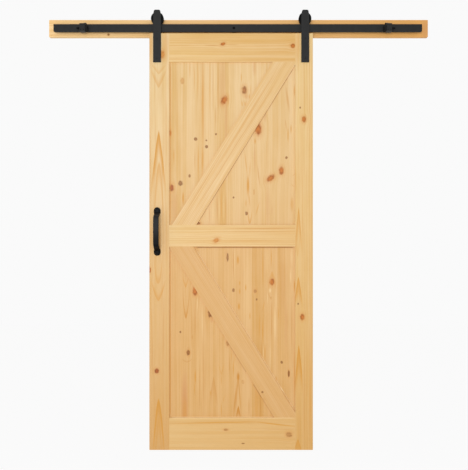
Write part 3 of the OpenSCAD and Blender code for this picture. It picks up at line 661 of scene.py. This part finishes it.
BOTTOM_RAIL = Board(
    "bottom_rail", seed=5.0, lean=LEVEL, light=tint(226, 192, 138), dark=tint(214, 168, 98), heart=-60,
    ring=10, line_share=0.2, contrast=0.6, painted_falloff=(0.2, 0.0),
    marks=[
        Knot(225.9, 429.8, 4.6, 2.2, "tan"),
        Knot(289.0, 434.6, 6, 5, "tan"),
        Knot(243.2, 443.5, 3.5, 1.4, "pin"),
        Grain((166, 423.6), (268, 421.6), 1.8, 0.75, "orange"),
        Grain((250, 421.2), (300, 427), 1.8, 0.85, "orange"),
        Streak(280, 429, 1.0, 50, 0.5, "dark"),
        # Painted highlight: lightens the top edge, which the lamps leave dark
        Line((169, 417.7), (296, 417.7), 1.2, 0.45, "painted_highlight"),
    ])
HEADER = Board(
    "header_board", seed=6.0, lean=LEVEL, light=tint(253, 219, 168), dark=tint(241, 194, 122), heart=10,
    ring=7, contrast=0.8, painted_falloff_tone=tint(228, 166, 88), painted_falloff=(0.95, -0.15),
    marks=[
        Knot(108.5, 34.6, 2.1, 2.1, "brown"),
        Streak(426, 29, 24, 12, 0.65, "pink"),
    ])
UPPER_PANEL = Board(
    "upper_panel", seed=7.0, light=tint(229, 198, 149), dark=tint(211, 169, 98), line_share=0.15, blush=0.3,
    streak=24, contrast=1.1, painted_falloff=(0.0, 0.28),
    staves=[
        Stave(170, 0.5, 0.1), Stave(186.5, 0.3, 0.35), Stave(204, 0.25, 0.6),
        Stave(216.9, 0.62, 0.8), Stave(228.6, 0.25, 0.15), Stave(254, 0.4, 0.9),
        Stave(272.5, 0.4, 0.25), Stave(284, 0.3, 0.7),
    ],
    marks=[
        Knot(244.3, 90.2, 5, 8.4, "ring"),
        Knot(224.2, 100.2, 6, 9, "red", 25),
        Knot(182.4, 80.7, 4, 7, "faint"),
        Knot(195.6, 139.1, 3.5, 3.7, "pin"),
        Knot(216.1, 134.1, 2, 2.4, "pin"),
        Knot(206.4, 140.4, 1.8, 2, "pin"),
        Knot(206.6, 146.7, 3, 3.2, "pin"),
        Knot(189.6, 175.9, 2.6, 3.6, "pin"),
        Knot(170.1, 133.2, 2.5, 6),
        Knot(258.3, 129.3, 6.7, 12),
        Knot(180.5, 183.2, 5, 5, "pin"),
        Knot(171.6, 187.8, 4.6, 7, "rust"),
        Knot(286.5, 157.6, 2.6, 3, "pin"),
        Knot(281.4, 170.7, 5, 8),
        Knot(270.6, 178.2, 9, 5.5, "red", -38),
        Knot(254.0, 192.2, 1.8, 6, "faint"),
        Knot(233.5, 197.5, 1.8, 2, "pin"),
        Knot(246.6, 213.4, 3.1, 3.7, "pin"),
        # Painted shade: the dark gap at the upper brace's foot, drawn as a brown knot
        Knot(198.2, 223.2, 4.6, 2.4, "brown"),
        Streak(202.9, 102, 3.0, 100, 0.7),
        Streak(203.6, 118, 1.2, 60, 0.5),
        Streak(194.0, 76, 1.0, 44, 0.75),
        Streak(197.8, 78, 1.0, 50, 0.75),
        Streak(189.6, 69, 1.2, 22, 0.5),
        Streak(195.8, 78, 0.9, 50, 0.6, "light"),
        Streak(199.4, 84, 1.0, 70, 0.35, "light"),
        Streak(209.8, 82, 0.9, 60, 0.62),
        Streak(212.9, 84, 0.9, 60, 0.62, "dark"),
        Streak(214.6, 84, 1.0, 60, 0.5, "light"),
        Streak(218, 88, 1.4, 70, 0.56, "dark"),
        Streak(215.7, 116, 0.8, 26, 0.62, "dark"),
        Streak(222.6, 84, 8.5, 70, 0.35, "pink"),
        Streak(226, 116, 3.4, 60, 0.4, "pink"),
        Streak(229.6, 90, 1.4, 70, 0.4, "light"),
        Streak(228.3, 100, 0.8, 14, 0.75),
        Streak(254.5, 68, 4, 18, 0.4, "pink"),
        Streak(262.5, 78, 2.4, 30, 0.5, "light"),
        Streak(246.4, 96.5, 5, 6, 0.45, "pink"),
        Streak(241.4, 77.5, 1.6, 10, 0.56),
        Streak(250.9, 90, 1.2, 14, 0.5),
        Streak(249.4, 96.5, 1.6, 6, 0.62),
        Flame(242.2, 106.5, 1.4, 7, -1, 0.6, 1.6, 0.8),
        Flame(245.2, 106, 1.4, 6, -1, 0.6, 1.6, 0.8),
        Grain((285.4, 84), (289.8, 114), 2.6, 0.45, "dark"),
        Streak(292.4, 98, 1.6, 50, 0.5, "light"),
        Streak(294.4, 91, 1.8, 14, 0.6),
        Streak(293, 160, 4, 120, 0.3, "light"),
        Streak(265, 115, 3, 16, 0.4, "pink"),
        Streak(288, 135, 1.4, 16, 0.81),
        Grain((285.2, 118), (286.6, 131), 1.2, 0.45, "dark"),
        Streak(291, 129, 2, 10, 0.62),
        Streak(255.1, 141.3, 2.2, 6, 0.75),
        Streak(254.6, 158, 1.8, 36, 0.5, "pink"),
        Grain((257.2, 163), (259.8, 188), 1.4, 0.55, "dark"),
        Grain((244.4, 148), (247.4, 176), 1.4, 0.55, "orange"),
        Streak(249, 154, 1.0, 24, 0.5, "light"),
        Grain((250.4, 160), (249.5, 179), 1.1, 0.55, "orange"),
        Streak(247.9, 185.5, 3, 22, 0.95),
        Grain((248.4, 192), (250.2, 208), 1.2, 0.6, "orange"),
        Streak(246, 203, 1.4, 8, 0.62),
        Flame(249.8, 224.2, 2.6, 16, -1, 0.75, 2.2, 0.5),
        Grain((259.8, 201), (255.2, 217), 1.3, 0.55, "orange"),
        Grain((292.2, 176.5), (295.2, 173.5), 1.0, 0.5, "orange"),
        Grain((291, 184), (294.5, 187.2), 1.2, 0.5, "orange"),
        Streak(292, 204, 3.6, 16, 0.55),
        Streak(267, 207, 1.2, 36, 0.4, "pink"),
        Streak(272, 210, 1.2, 12, 0.4, "pink"),
        Streak(268, 206, 6, 46, 0.25, "pink"),
        Streak(202.6, 160, 2.6, 32, 0.75),
        Streak(198.2, 162, 1.4, 36, 0.69),
        Streak(194.8, 160, 1.0, 24, 0.5, "dark"),
        Streak(173.8, 156, 1.6, 16, 0.62),
        Streak(183.2, 198, 2.2, 14, 0.88),
        Streak(174.5, 206, 8, 40, 0.35, "pink"),
        Streak(209.7, 215, 1.2, 22, 0.5, "pink"),
        Streak(213, 212, 1.0, 26, 0.5, "light"),
        Streak(217.2, 208, 1.4, 36, 0.62, "dark"),
        Streak(219.4, 208, 1.2, 36, 0.4, "light"),
        Streak(221.3, 206, 1.3, 40, 0.75),
        Streak(223.8, 206, 1.4, 40, 0.4, "light"),
        Streak(226, 208, 1.2, 34, 0.5, "dark"),
        # Painted shadows: along the left stile's inner edge and under the upper brace's lower edge
        Line((170.3, 62), (170.3, 225), 1.2, 0.5, "deep"),
        Line((197.0, 224.6), (295.4, 65.4), 0.7, 0.35),
    ])
LOWER_PANEL = Board(
    "lower_panel", seed=8.0, light=tint(223, 183, 129), dark=tint(206, 156, 84), line_share=0.15, blush=0.35,
    streak=24, contrast=1.0, painted_falloff=(0.05, 0.2),
    staves=[
        Stave(170, 0.4, 0.2), Stave(180.5, 0.5, 0.5), Stave(189, 0.4, 0.75),
        Stave(203.6, 0.4, 0.05), Stave(233.4, 0.3, 0.85), Stave(252, 0.6, 0.4),
        Stave(264, 0.35, 0.95), Stave(277, 0.5, 0.6), Stave(288.6, 0.3, 0.33),
    ],
    marks=[
        Knot(227.6, 257.3, 2.2, 8, "pin"),
        Knot(272.0, 281.9, 4.8, 7),
        Knot(233.5, 290.2, 2.6, 4, "pin"),
        Knot(255.2, 291.1, 3, 3.4, "tan"),
        Knot(256.6, 299.4, 1.8, 2.4, "pin"),
        Knot(271.1, 298, 2, 3, "faint"),
        Knot(195.0, 291.3, 5, 9),
        Knot(210.3, 313.7, 5, 8, "brown"),
        Knot(180.5, 332.1, 2, 2.4, "pin"),
        Knot(227.8, 343, 2.8, 6, "tan"),
        Knot(236.2, 353.8, 2, 3, "tan"),
        Knot(188.2, 352.6, 3.6, 5.5, "brown"),
        Knot(188.3, 347.6, 1.6, 2, "faint"),
        Knot(242.9, 381.9, 3, 4, "faint"),
        Knot(281.7, 362.3, 2.6, 3, "pin"),
        Knot(288.8, 373.5, 2.0, 7, "brown"),
        Streak(233.3, 262, 0.9, 34, 0.81, "dark"),
        Streak(234.6, 262, 0.9, 34, 0.5, "light"),
        Streak(227, 256, 3.4, 14, 0.4, "pink"),
        Streak(238, 260, 2.6, 10, 0.95),
        Streak(247, 288, 9, 90, 0.2, "light"),
        Streak(262.8, 266, 1.2, 40, 0.75),
        Streak(267.2, 261, 3.6, 30, 0.2, "light"),
        Streak(271.2, 257.5, 1.2, 22, 0.81),
        Flame(272, 271, 4.6, 20, 1, 0.5, 1.6),
        Streak(272, 275.5, 1.6, 5, 0.75),
        Streak(270, 290.5, 2.6, 5, 0.7, "light"),
        Grain((267.6, 292), (271, 300), 1.0, 0.4, "dark"),
        Streak(271.8, 312, 1.2, 26, 0.62, "dark"),
        Streak(267.4, 298, 1.0, 14, 0.5, "light"),
        Streak(276.2, 300, 1.4, 24, 0.4, "light"),
        Streak(282.6, 284, 10, 70, 0.31, "dark"),
        Streak(291.6, 257, 3.6, 18, 0.3, "light"),
        Streak(290.6, 276, 2, 16, 0.5, "light"),
        Streak(294.4, 286, 1.8, 14, 0.88),
        Streak(239.7, 283, 1.6, 5, 0.75),
        Streak(239.7, 291.5, 1.6, 6, 0.88),
        Streak(245.7, 287.5, 1.6, 7, 0.88),
        Streak(239, 306.5, 2.6, 8, 0.95),
        Streak(249.9, 316, 1.4, 8, 0.75),
        Grain((265, 300), (262, 312), 1.3, 0.5, "orange"),
        Streak(259.6, 326, 1.5, 30, 0.69),
        Streak(262.9, 331, 1.4, 30, 0.94),
        Streak(271.7, 326, 1.2, 34, 0.62, "dark"),
        Streak(275, 324, 2.6, 36, 0.5, "light"),
        Streak(278.4, 314, 1.2, 12, 0.62),
        Streak(286, 324, 4, 60, 0.3, "pink"),
        Streak(291.6, 324, 1.2, 60, 0.5, "dark"),
        Streak(261.7, 350, 1.0, 22, 0.56, "dark"),
        Streak(263.4, 353, 1.0, 18, 0.5, "light"),
        Streak(265, 353, 1.4, 20, 0.81),
        Streak(270.2, 357, 1.2, 36, 0.5, "light"),
        Streak(276, 379.5, 1.8, 8, 0.75),
        Streak(294.8, 375, 2, 56, 0.62),
        Streak(256.3, 404, 5, 44, 0.42),
        Streak(260.6, 407, 1.1, 26, 0.88, "dark"),
        Streak(249, 407, 2.2, 20, 0.38, "dark"),
        Flame(185.6, 288, 3.4, 12, -1, 0.75, 1.4, 0.5),
        Flame(186.0, 319, 3.8, 30, -1, 0.8, 2.0, 0.35, "deep"),
        Streak(195, 320, 1.4, 46, 0.62, "dark"),
        Streak(197.3, 304, 1.0, 16, 0.6, "light"),
        Streak(202.2, 322, 1.6, 40, 0.5, "light"),
        Streak(192, 326, 0.9, 34, 0.62, "dark"),
        Streak(212, 320, 4, 6, 0.4, "pink"),
        Streak(184.7, 404, 7.6, 70, 0.9, "pink"),
        Streak(184.7, 412, 6, 34, 0.5),
        Streak(195.4, 377, 1.8, 16, 0.94),
        Streak(194.6, 389, 1.2, 14, 0.62),
        Streak(199.6, 392, 1.0, 54, 0.56, "dark"),
        Streak(203.7, 376, 0.9, 90, 0.69, "dark"),
        Streak(198, 372, 1.2, 70, 0.4, "light"),
        Streak(201.2, 372, 1.0, 70, 0.4, "light"),
        Streak(192.2, 337, 1.4, 6, 0.75, "dark"),
        Flame(187, 362.5, 5.5, 4, -1, 0.4, 2.0, 0.6, "dark"),
        Flame(213.6, 376, 4.6, 30, 1, 0.45, 1.3, 0.9, "dark"),
        Flame(221.3, 375.5, 3.4, 13, -1, 0.5, 1.2, 0.4),
        Streak(221.3, 380, 1.0, 12, 0.62),
        Streak(221.3, 410, 1.2, 18, 0.75),
        Streak(210.6, 393, 1.6, 6, 0.62),
        Grain((222.6, 404), (225, 394), 1.2, 0.4, "orange"),
        Flame(238.2, 372.5, 3.4, 46, 1, 0.75, 1.3, 0.45, "deep"),
        Streak(238.2, 377, 3.4, 11, 0.95, "deep"),
        Grain((236.8, 382), (233.4, 420), 1.8, 0.7, "deep"),
        Flame(238.3, 405.5, 2.8, 13, 1, 0.95, 1.3, 1.4, "deep"),
        Streak(229.4, 365, 1.2, 22, 0.56, "dark"),
        Streak(233.4, 368, 1.3, 18, 0.75),
        Grain((231.8, 351), (231.4, 362), 1.1, 0.45, "orange"),
        Grain((235.2, 352), (234.6, 364), 1.1, 0.45, "orange"),
        # Painted shadow along the left stile's inner edge
        Line((170.3, 246.5), (170.3, 417.5), 1.2, 0.58, "deep"),
        # Painted highlights: lighten the bottom rail's ledge and the lower brace's upper edge, which the
        # lamps leave dark
        Line((170, 417.3), (276, 417.3), 1.4, 0.45, "painted_highlight"),
        Grain((279.5, 386), (284, 393.5), 2.4, 0.6, "painted_highlight"),
        Line((194.2, 246.8), (295.6, 412), 1.2, 0.28, "painted_highlight"),
        # Painted shadows: under the mid rail and along the lower brace's lower edge
        Line((194.5, 247.4), (295.4, 247.4), 1.2, 0.75),
        Line((228, 342.3), (246.6, 372.6), 0.9, 0.4),
        Line((253.6, 384), (262, 397.7), 1.2, 0.55),
        Line((262, 397.7), (274, 417.4), 0.9, 0.35),
    ])
UPPER_BRACE = Board(
    "front_upper_brace", seed=9.0, lean=UPPER_LEAN, light=tint(233, 204, 158), dark=tint(217, 174, 106),
    heart=-90, ring=7, line_share=0.45, streak=14, contrast=0.8, painted_falloff=(0.0, 0.12),
    marks=[
        Grain((172, 221), (205, 168), 1.6, 0.35, "dark"),
        Grain((180, 221), (228, 144), 1.2, 0.4, "dark"),
        Grain((192, 216), (262, 103), 1.4, 0.35, "dark"),
        Grain((222, 158), (276, 71), 1.4, 0.35, "dark"),
        Grain((240, 140), (284, 69), 1.2, 0.3, "dark"),
        Grain((214, 189), (240, 147), 2.0, 0.35, "light"),
    ])
LOWER_BRACE = Board(
    "front_lower_brace", seed=10.0, lean=LOWER_LEAN, light=tint(225, 187, 138), dark=tint(208, 159, 90),
    heart=90, ring=7, line_share=0.4, streak=14, contrast=0.6, painted_falloff=(0.05, 0.15),
    marks=[
        Knot(262.4, 392.2, 2.2, 2.4, "pin"),
        Knot(264.2, 399, 2, 4, "faint"),
        # Painted shade: a darker band along the brace's upper edge
        Grain((279, 386), (293, 409), 2.6, 0.35, "dark"),
    ])
BACK_UPPER_BRACE = Board(
    "back_upper_brace", seed=11.0, lean=UPPER_LEAN, heart=70, ring=7, streak=14, contrast=0.7)
BACK_LOWER_BRACE = Board(
    "back_lower_brace", seed=12.0, lean=LOWER_LEAN, heart=-70, ring=7, streak=14, contrast=0.7,
    painted_falloff=(0.1, 0.2))
BOARDS = [
    LEFT_STILE, RIGHT_STILE, TOP_RAIL, MID_RAIL, BOTTOM_RAIL, HEADER, UPPER_PANEL, LOWER_PANEL,
    UPPER_BRACE, LOWER_BRACE, BACK_UPPER_BRACE, BACK_LOWER_BRACE,
]


# Metal, nylon, rubber and dowels

def powder_coat():
    """Matt black coat with a fine pebbled skin and a few duller patches."""
    finish = Finish("black_powder_coat")
    place = finish.millimetres()
    skin = place.cells(0.7).noise(detail=2.0, rough=0.6)
    patch = place.cells(24).noise(detail=3.0, rough=0.55, seed=2.0)
    colour = patch.between(0.3, 0.7).tinted(tint(29, 29, 29), tint(34, 35, 35))
    colour = colour.mixed(tint(16, 16, 17), skin.between(0.5, 0.8) * 0.5)
    rough = skin * 0.18 + patch * 0.1 + 0.4
    return finish.done(colour, rough, skin, depth=0.00012, strength=0.35, Specular_IOR_Level=0.2)


# Painted shading on the pull: heights between which its black lightens as a painted sheen towards the top,
# and depths between which it darkens as painted shade towards the leaf, in mm from its middle, and the share
# of light left there
PULL_SHEEN_HEIGHTS = (-48, 24)
PULL_SHADE_DEPTHS = (-9, 12)
PULL_ROOT_SHARE = 0.25


def pull_painted_shading():
    """The pull's black with painted shading: a painted sheen on its upper half, and painted shade on its
    lower half and towards its feet on the leaf.
    """
    finish = Finish("pull_black_painted_shading")
    place = finish.millimetres(middle_of("pull_handle"))
    skin = place.cells(0.7).noise(detail=2.0, rough=0.6, seed=9.0)
    height = place.along_axis((0, 0, 1))
    depth = place.along_axis((0, 1, 0))
    # Painted sheen and shade: lighter towards the top, darker towards the leaf
    share = height.between(*PULL_SHEEN_HEIGHTS) * depth.between(*PULL_SHADE_DEPTHS, 1.0, PULL_ROOT_SHARE)
    colour = share.tinted(tint(6, 6, 6), tint(35, 36, 37))
    rough = skin * 0.2 + 0.45
    return finish.done(colour, rough, skin, depth=0.0001, strength=0.3, Specular_IOR_Level=0.12)


def black_oxide():
    """Darker, oiled black of the bolts."""
    finish = Finish("black_oxide")
    cloud = finish.millimetres().cells(3).noise(detail=3.0, rough=0.6, seed=8.0)
    colour = cloud.between(0.3, 0.7).tinted(tint(8, 8, 9), tint(16, 16, 17))
    rough = cloud * 0.2 + 0.5
    return finish.done(colour, rough, cloud, depth=0.00008, strength=0.3, Specular_IOR_Level=0.06)


def nylon():
    """Black moulded nylon with a faint turned grain."""
    finish = Finish("black_nylon")
    place = finish.millimetres()
    grain = place.cells(1.2).noise(detail=2.0, rough=0.5, seed=1.0)
    cloud = place.cells(9).noise(detail=2.0, rough=0.5, seed=4.0)
    colour = cloud.between(0.3, 0.7).tinted(tint(8, 8, 9), tint(14, 14, 15))
    rough = grain * 0.15 + 0.5
    return finish.done(colour, rough, grain, depth=0.0001, strength=0.2, Specular_IOR_Level=0.08)


def rubber():
    """Dull black rubber with a dusty bloom."""
    finish = Finish("black_rubber")
    bloom = finish.millimetres().cells(5).noise(detail=4.0, rough=0.6, seed=3.0)
    colour = bloom.between(0.45, 0.8).tinted(tint(18, 18, 18), tint(34, 33, 32))
    rough = bloom * 0.2 + 0.65
    return finish.done(colour, rough, bloom, depth=0.0001, strength=0.25, Specular_IOR_Level=0.15)


def zinc():
    """Bright plated steel with faint tool marks and cloudy plating."""
    finish = Finish("bright_zinc")
    place = finish.millimetres()
    marks = place.stretched(0.25, 6, 6).noise(detail=2.0, rough=0.5, seed=5.0)
    cloud = place.cells(4).noise(detail=3.0, rough=0.6, seed=6.0)
    colour = cloud.between(0.3, 0.7).tinted(tint(176, 178, 180), tint(205, 205, 203))
    rough = marks * 0.16 + cloud * 0.1 + 0.22
    return finish.done(colour, rough, marks, depth=0.00005, strength=0.3, Metallic=1.0)


def beech():
    """Bare dowel wood, grained along the dowels."""
    finish = Finish("beech_dowel")
    fibre = finish.millimetres().stretched(30, 0.8, 0.8).noise(detail=3.0, rough=0.6, seed=7.0)
    colour = fibre.between(0.3, 0.75).tinted(tint(222, 180, 132), tint(196, 148, 100))
    return finish.done(colour, fibre * 0.2 + 0.55, fibre, depth=0.0002, strength=0.3)


SLOT_FINISHES = {
    "black_steel": powder_coat(),
    "black_nylon": nylon(),
    "black_rubber": rubber(),
    "bright_steel": zinc(),
    "dowel_wood": beech(),
}
OXIDE = black_oxide()
OXIDE_NODES = [
    "rail_bolts", "left_stop_stud", "right_stop_stud", "left_stop_nut", "right_stop_nut", "stop_set_screws",
]


def dress(node, material):
    """Gives a CAD node a material in every slot."""
    mesh = frame["nodes"][node].data
    if not mesh.materials:
        mesh.materials.append(material)
    for i in range(len(mesh.materials)):
        mesh.materials[i] = material


for subpart in frame["record"]["subparts"]:
    if subpart["material_slot"] in SLOT_FINISHES:
        dress(subpart["node"], SLOT_FINISHES[subpart["material_slot"]])
for node in OXIDE_NODES:
    dress(node, OXIDE)
dress("pull_handle", pull_painted_shading())
for board in BOARDS:
    dress(board.node, Pine(board).made())


# Pull

FOOT_RADIUS = 0.0175
ARM_HALF_WIDTH = 0.0142
# Heights above the leaf between which an arm meets its foot
ARM_FOOT_LOW = 0.0046
ARM_FOOT_HIGH = 0.0102
# How far an arm's root and a foot's inner rim move towards the grip, and the length over which that grows
ARM_SHIFT = 0.012
RIM_SHIFT = 0.008
SHIFT_RISE = 0.005
# Distance outside a foot's middle where the arm's shift starts
SHIFT_START = 0.009
# Half width and depth of the room round a screw hole, which stays
HOLE_HALF = 0.004
HOLE_DEPTH = 0.0072


def foot_shift(height, aside, inward):
    """How far a point moves towards the grip, by its height and its place from a foot's middle."""
    in_hole = height < HOLE_DEPTH and math.hypot(aside, inward) < HOLE_HALF
    if in_hole or height > ARM_FOOT_HIGH:
        return 0.0
    if height > ARM_FOOT_LOW and aside < ARM_HALF_WIDTH:
        return ARM_SHIFT * min(max((inward + SHIFT_START) / SHIFT_RISE, 0.0), 1.0)
    return RIM_SHIFT * min(max(inward / SHIFT_RISE, 0.0), 1.0)


def build_pull():
    """The pull of the CAD with steeper arms and feet drawn out towards the grip, as the photo shows them."""
    mesh = frame["nodes"]["pull_handle"].data.copy()
    low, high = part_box("pull_handle")
    middle = (low + high) / 2
    foot = (high.z - low.z) / 2 - FOOT_RADIUS
    for vertex in mesh.vertices:
        offset = vertex.co - middle
        shift = foot_shift(high.y - vertex.co.y, abs(offset.x), foot - abs(offset.z))
        vertex.co.z -= math.copysign(shift, offset.z)
    piece = put("pull", mesh)
    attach(piece, "door")
    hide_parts("pull_handle")


build_pull()


# Screw threads

@dataclass
class Thread:
    """A thread's sizes in mm. Its ridge stands on a plain shank."""
    pitch: float
    root: float
    ridge: float
    length: float
    steps: int = 20


LAG_THREAD = Thread(pitch=3.0, root=3.5, ridge=0.75, length=30.0)
STUD_THREAD = Thread(pitch=1.25, root=4.0, ridge=0.3, length=10.0)
# Sides of a ridge's section
RIDGE_SIDES = 3


def thread_tree(name):
    """Geometry Nodes: a helical ridge at each point, along its own axis."""
    tree = bpy.data.node_groups.new(name, "GeometryNodeTree")
    face = tree.interface
    face.new_socket("Points", in_out="INPUT", socket_type="NodeSocketGeometry")
    for label in ("Turns", "Radius", "Length", "Ridge", "Tilt X", "Tilt Y"):
        face.new_socket(label, in_out="INPUT", socket_type="NodeSocketFloat")
    face.new_socket("Steps", in_out="INPUT", socket_type="NodeSocketInt")
    face.new_socket("Material", in_out="INPUT", socket_type="NodeSocketMaterial")
    face.new_socket("Thread", in_out="OUTPUT", socket_type="NodeSocketGeometry")
    given = tree.nodes.new("NodeGroupInput").outputs
    shown = tree.nodes.new("NodeGroupOutput")
    helix = tree.nodes.new("GeometryNodeCurveSpiral")
    profile = tree.nodes.new("GeometryNodeCurvePrimitiveCircle")
    profile.inputs["Resolution"].default_value = RIDGE_SIDES
    sweep = tree.nodes.new("GeometryNodeCurveToMesh")
    sweep.inputs["Fill Caps"].default_value = True
    turn = tree.nodes.new("FunctionNodeEulerToRotation")
    angles = tree.nodes.new("ShaderNodeCombineXYZ")
    spread = tree.nodes.new("GeometryNodeInstanceOnPoints")
    real = tree.nodes.new("GeometryNodeRealizeInstances")
    coat = tree.nodes.new("GeometryNodeSetMaterial")
    links = [
        (given["Steps"], helix.inputs["Resolution"]),
        (given["Turns"], helix.inputs["Rotations"]),
        (given["Radius"], helix.inputs["Start Radius"]),
        (given["Radius"], helix.inputs["End Radius"]),
        (given["Length"], helix.inputs["Height"]),
        (given["Ridge"], profile.inputs["Radius"]),
        (helix.outputs["Curve"], sweep.inputs["Curve"]),
        (profile.outputs["Curve"], sweep.inputs["Profile Curve"]),
        (given["Tilt X"], angles.inputs["X"]),
        (given["Tilt Y"], angles.inputs["Y"]),
        (angles.outputs[0], turn.inputs[0]),
        (given["Points"], spread.inputs["Points"]),
        (sweep.outputs["Mesh"], spread.inputs["Instance"]),
        (turn.outputs[0], spread.inputs["Rotation"]),
        (spread.outputs[0], real.inputs[0]),
        (real.outputs[0], coat.inputs["Geometry"]),
        (given["Material"], coat.inputs["Material"]),
        (coat.outputs[0], shown.inputs["Thread"]),
    ]
    for start, end in links:
        tree.links.new(start, end)
    return tree


THREAD_TREE = thread_tree("screw_thread")


def cut_threads(name, thread, points, tilt):
    """One mesh of like threads that start at the given points and stay with the track."""
    mesh = bpy.data.meshes.new(name + "_starts")
    mesh.from_pydata(points, [], [])
    draft = put(name + "_starts", mesh)
    turns = thread.length / thread.pitch
    values = {
        "Turns": turns, "Radius": thread.root * MM, "Length": thread.length * MM, "Ridge": thread.ridge * MM,
        "Tilt X": math.radians(tilt[0]), "Tilt Y": math.radians(tilt[1]), "Steps": thread.steps,
        "Material": OXIDE,
    }
    modifier = draft.modifiers.new("thread", "NODES")
    modifier.node_group = THREAD_TREE
    for item in THREAD_TREE.interface.items_tree:
        if item.in_out == "INPUT" and item.name in values:
            modifier[item.identifier] = values[item.name]
    bpy.context.view_layer.update()
    made = bpy.data.meshes.new_from_object(draft.evaluated_get(bpy.context.evaluated_depsgraph_get()))
    bpy.data.objects.remove(draft)
    piece = put(name, made)
    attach(piece, "track")


header_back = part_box("header_board")[1].y
spacer_middles = [middle_of(f"rail_spacer_{i}") for i in range(1, 6)]
lag_starts = [(middle.x, header_back, middle.z) for middle in spacer_middles]
cut_threads("rail_bolt_threads", LAG_THREAD, lag_starts, (-90, 0))
for side, way in (("left", -1), ("right", 1)):
    low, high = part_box(f"{side}_stop_nut")
    start = (low.x if way < 0 else high.x, (low.y + high.y) / 2, (low.z + high.z) / 2)
    cut_threads(f"{side}_stud_thread", STUD_THREAD, [start], (0, 90 * way))


# Floor, light and camera

BACKDROP = tint(250, 250, 250)
FLOOR_DROP = 0.11
FLOOR_HALF = 5.0
FLOOR_GLOW = 0.99
# Share of the floor's own white glow, as seen directly and as it lights the object
FLOOR_GLOW_SHARE = 0.93
FLOOR_BOUNCE_SHARE = 0.45
AMBIENT = 0.55


@dataclass
class Lamp:
    """A square soft lamp: its place in metres, its size and its power in watts."""
    name: str
    place: tuple
    size: float
    power: float


LAMPS = [
    Lamp("key", (-0.6, -4.8, -0.7), 1.2, 85),
    Lamp("fill", (-0.3, -5.2, -0.3), 3.0, 28),
]


def seen_directly(tree):
    """1 for rays from the camera, a mirror or glass, which see the white backdrop."""
    path = tree.nodes.new("ShaderNodeLightPath")
    rays = [Shade(tree, path.outputs[name])
            for name in ("Is Camera Ray", "Is Glossy Ray", "Is Transmission Ray")]
    return rays[0].most(rays[1]).most(rays[2])


def blend_shaders(tree, share, first, second, end):
    """Mixes two shaders' outputs by a share into a tree's end node."""
    blend = tree.nodes.new("ShaderNodeMixShader")
    ends = (share.socket, first.outputs[0], second.outputs[0])
    for source, socket in zip(ends, blend.inputs):
        tree.links.new(source, socket)
    tree.links.new(blend.outputs[0], tree.nodes[end].inputs["Surface"])


def build_floor():
    low = cad_box[0].z - FLOOR_DROP
    middle = (cad_box[0] + cad_box[1]) / 2
    corners = [(-1, -1), (1, -1), (1, 1), (-1, 1)]
    mesh = bpy.data.meshes.new("floor")
    mesh.from_pydata(
        [(middle.x + x * FLOOR_HALF, middle.y + y * FLOOR_HALF, low) for x, y in corners], [], [(0, 1, 2, 3)])
    floor = put("floor", mesh)
    finish = Finish("pale_floor")
    finish.plain(Base_Color=tint(232, 231, 229), Roughness=0.8, Specular_IOR_Level=0.1)
    tree = finish.tree
    white = tree.nodes.new("ShaderNodeEmission")
    white.inputs["Color"].default_value = (FLOOR_GLOW, FLOOR_GLOW, FLOOR_GLOW, 1.0)
    share = seen_directly(tree) * (FLOOR_GLOW_SHARE - FLOOR_BOUNCE_SHARE) + FLOOR_BOUNCE_SHARE
    blend_shaders(tree, share, finish.shader, white, "Material Output")
    mesh.materials.append(finish.material)


def build_world():
    world = bpy.data.worlds.new("studio")
    bpy.context.scene.world = world
    world.use_nodes = True
    tree = world.node_tree
    ambient = tree.nodes["Background"]
    ambient.inputs["Color"].default_value = (1.0, 1.0, 1.0, 1.0)
    ambient.inputs["Strength"].default_value = AMBIENT
    white = tree.nodes.new("ShaderNodeBackground")
    white.inputs["Color"].default_value = BACKDROP
    blend_shaders(tree, seen_directly(tree), ambient, white, "World Output")


def hang_lamp(lamp):
    """Hangs a lamp that faces the middle of the object."""
    target = (cad_box[0] + cad_box[1]) / 2
    data = bpy.data.lights.new(lamp.name, "AREA")
    data.energy = lamp.power
    data.size = lamp.size
    hung = put(lamp.name, data)
    hung.location = lamp.place
    hung.rotation_euler = (target - Vector(lamp.place)).to_track_quat("-Z", "Y").to_euler()


def build_camera():
    data = bpy.data.cameras.new("camera")
    data.sensor_fit = "AUTO"
    data.sensor_width = SENSOR_MM
    data.lens = SENSOR_MM * LEAF_DISTANCE / (PIXEL_AT_LEAF * PHOTO_H)
    camera = put("camera", data)
    camera.location = CAMERA
    camera.rotation_euler = (math.radians(90), 0, 0)
    bpy.context.scene.camera = camera


build_floor()
build_world()
for lamp in LAMPS:
    hang_lamp(lamp)
build_camera()
bpy.context.scene.view_settings.view_transform = "Standard"
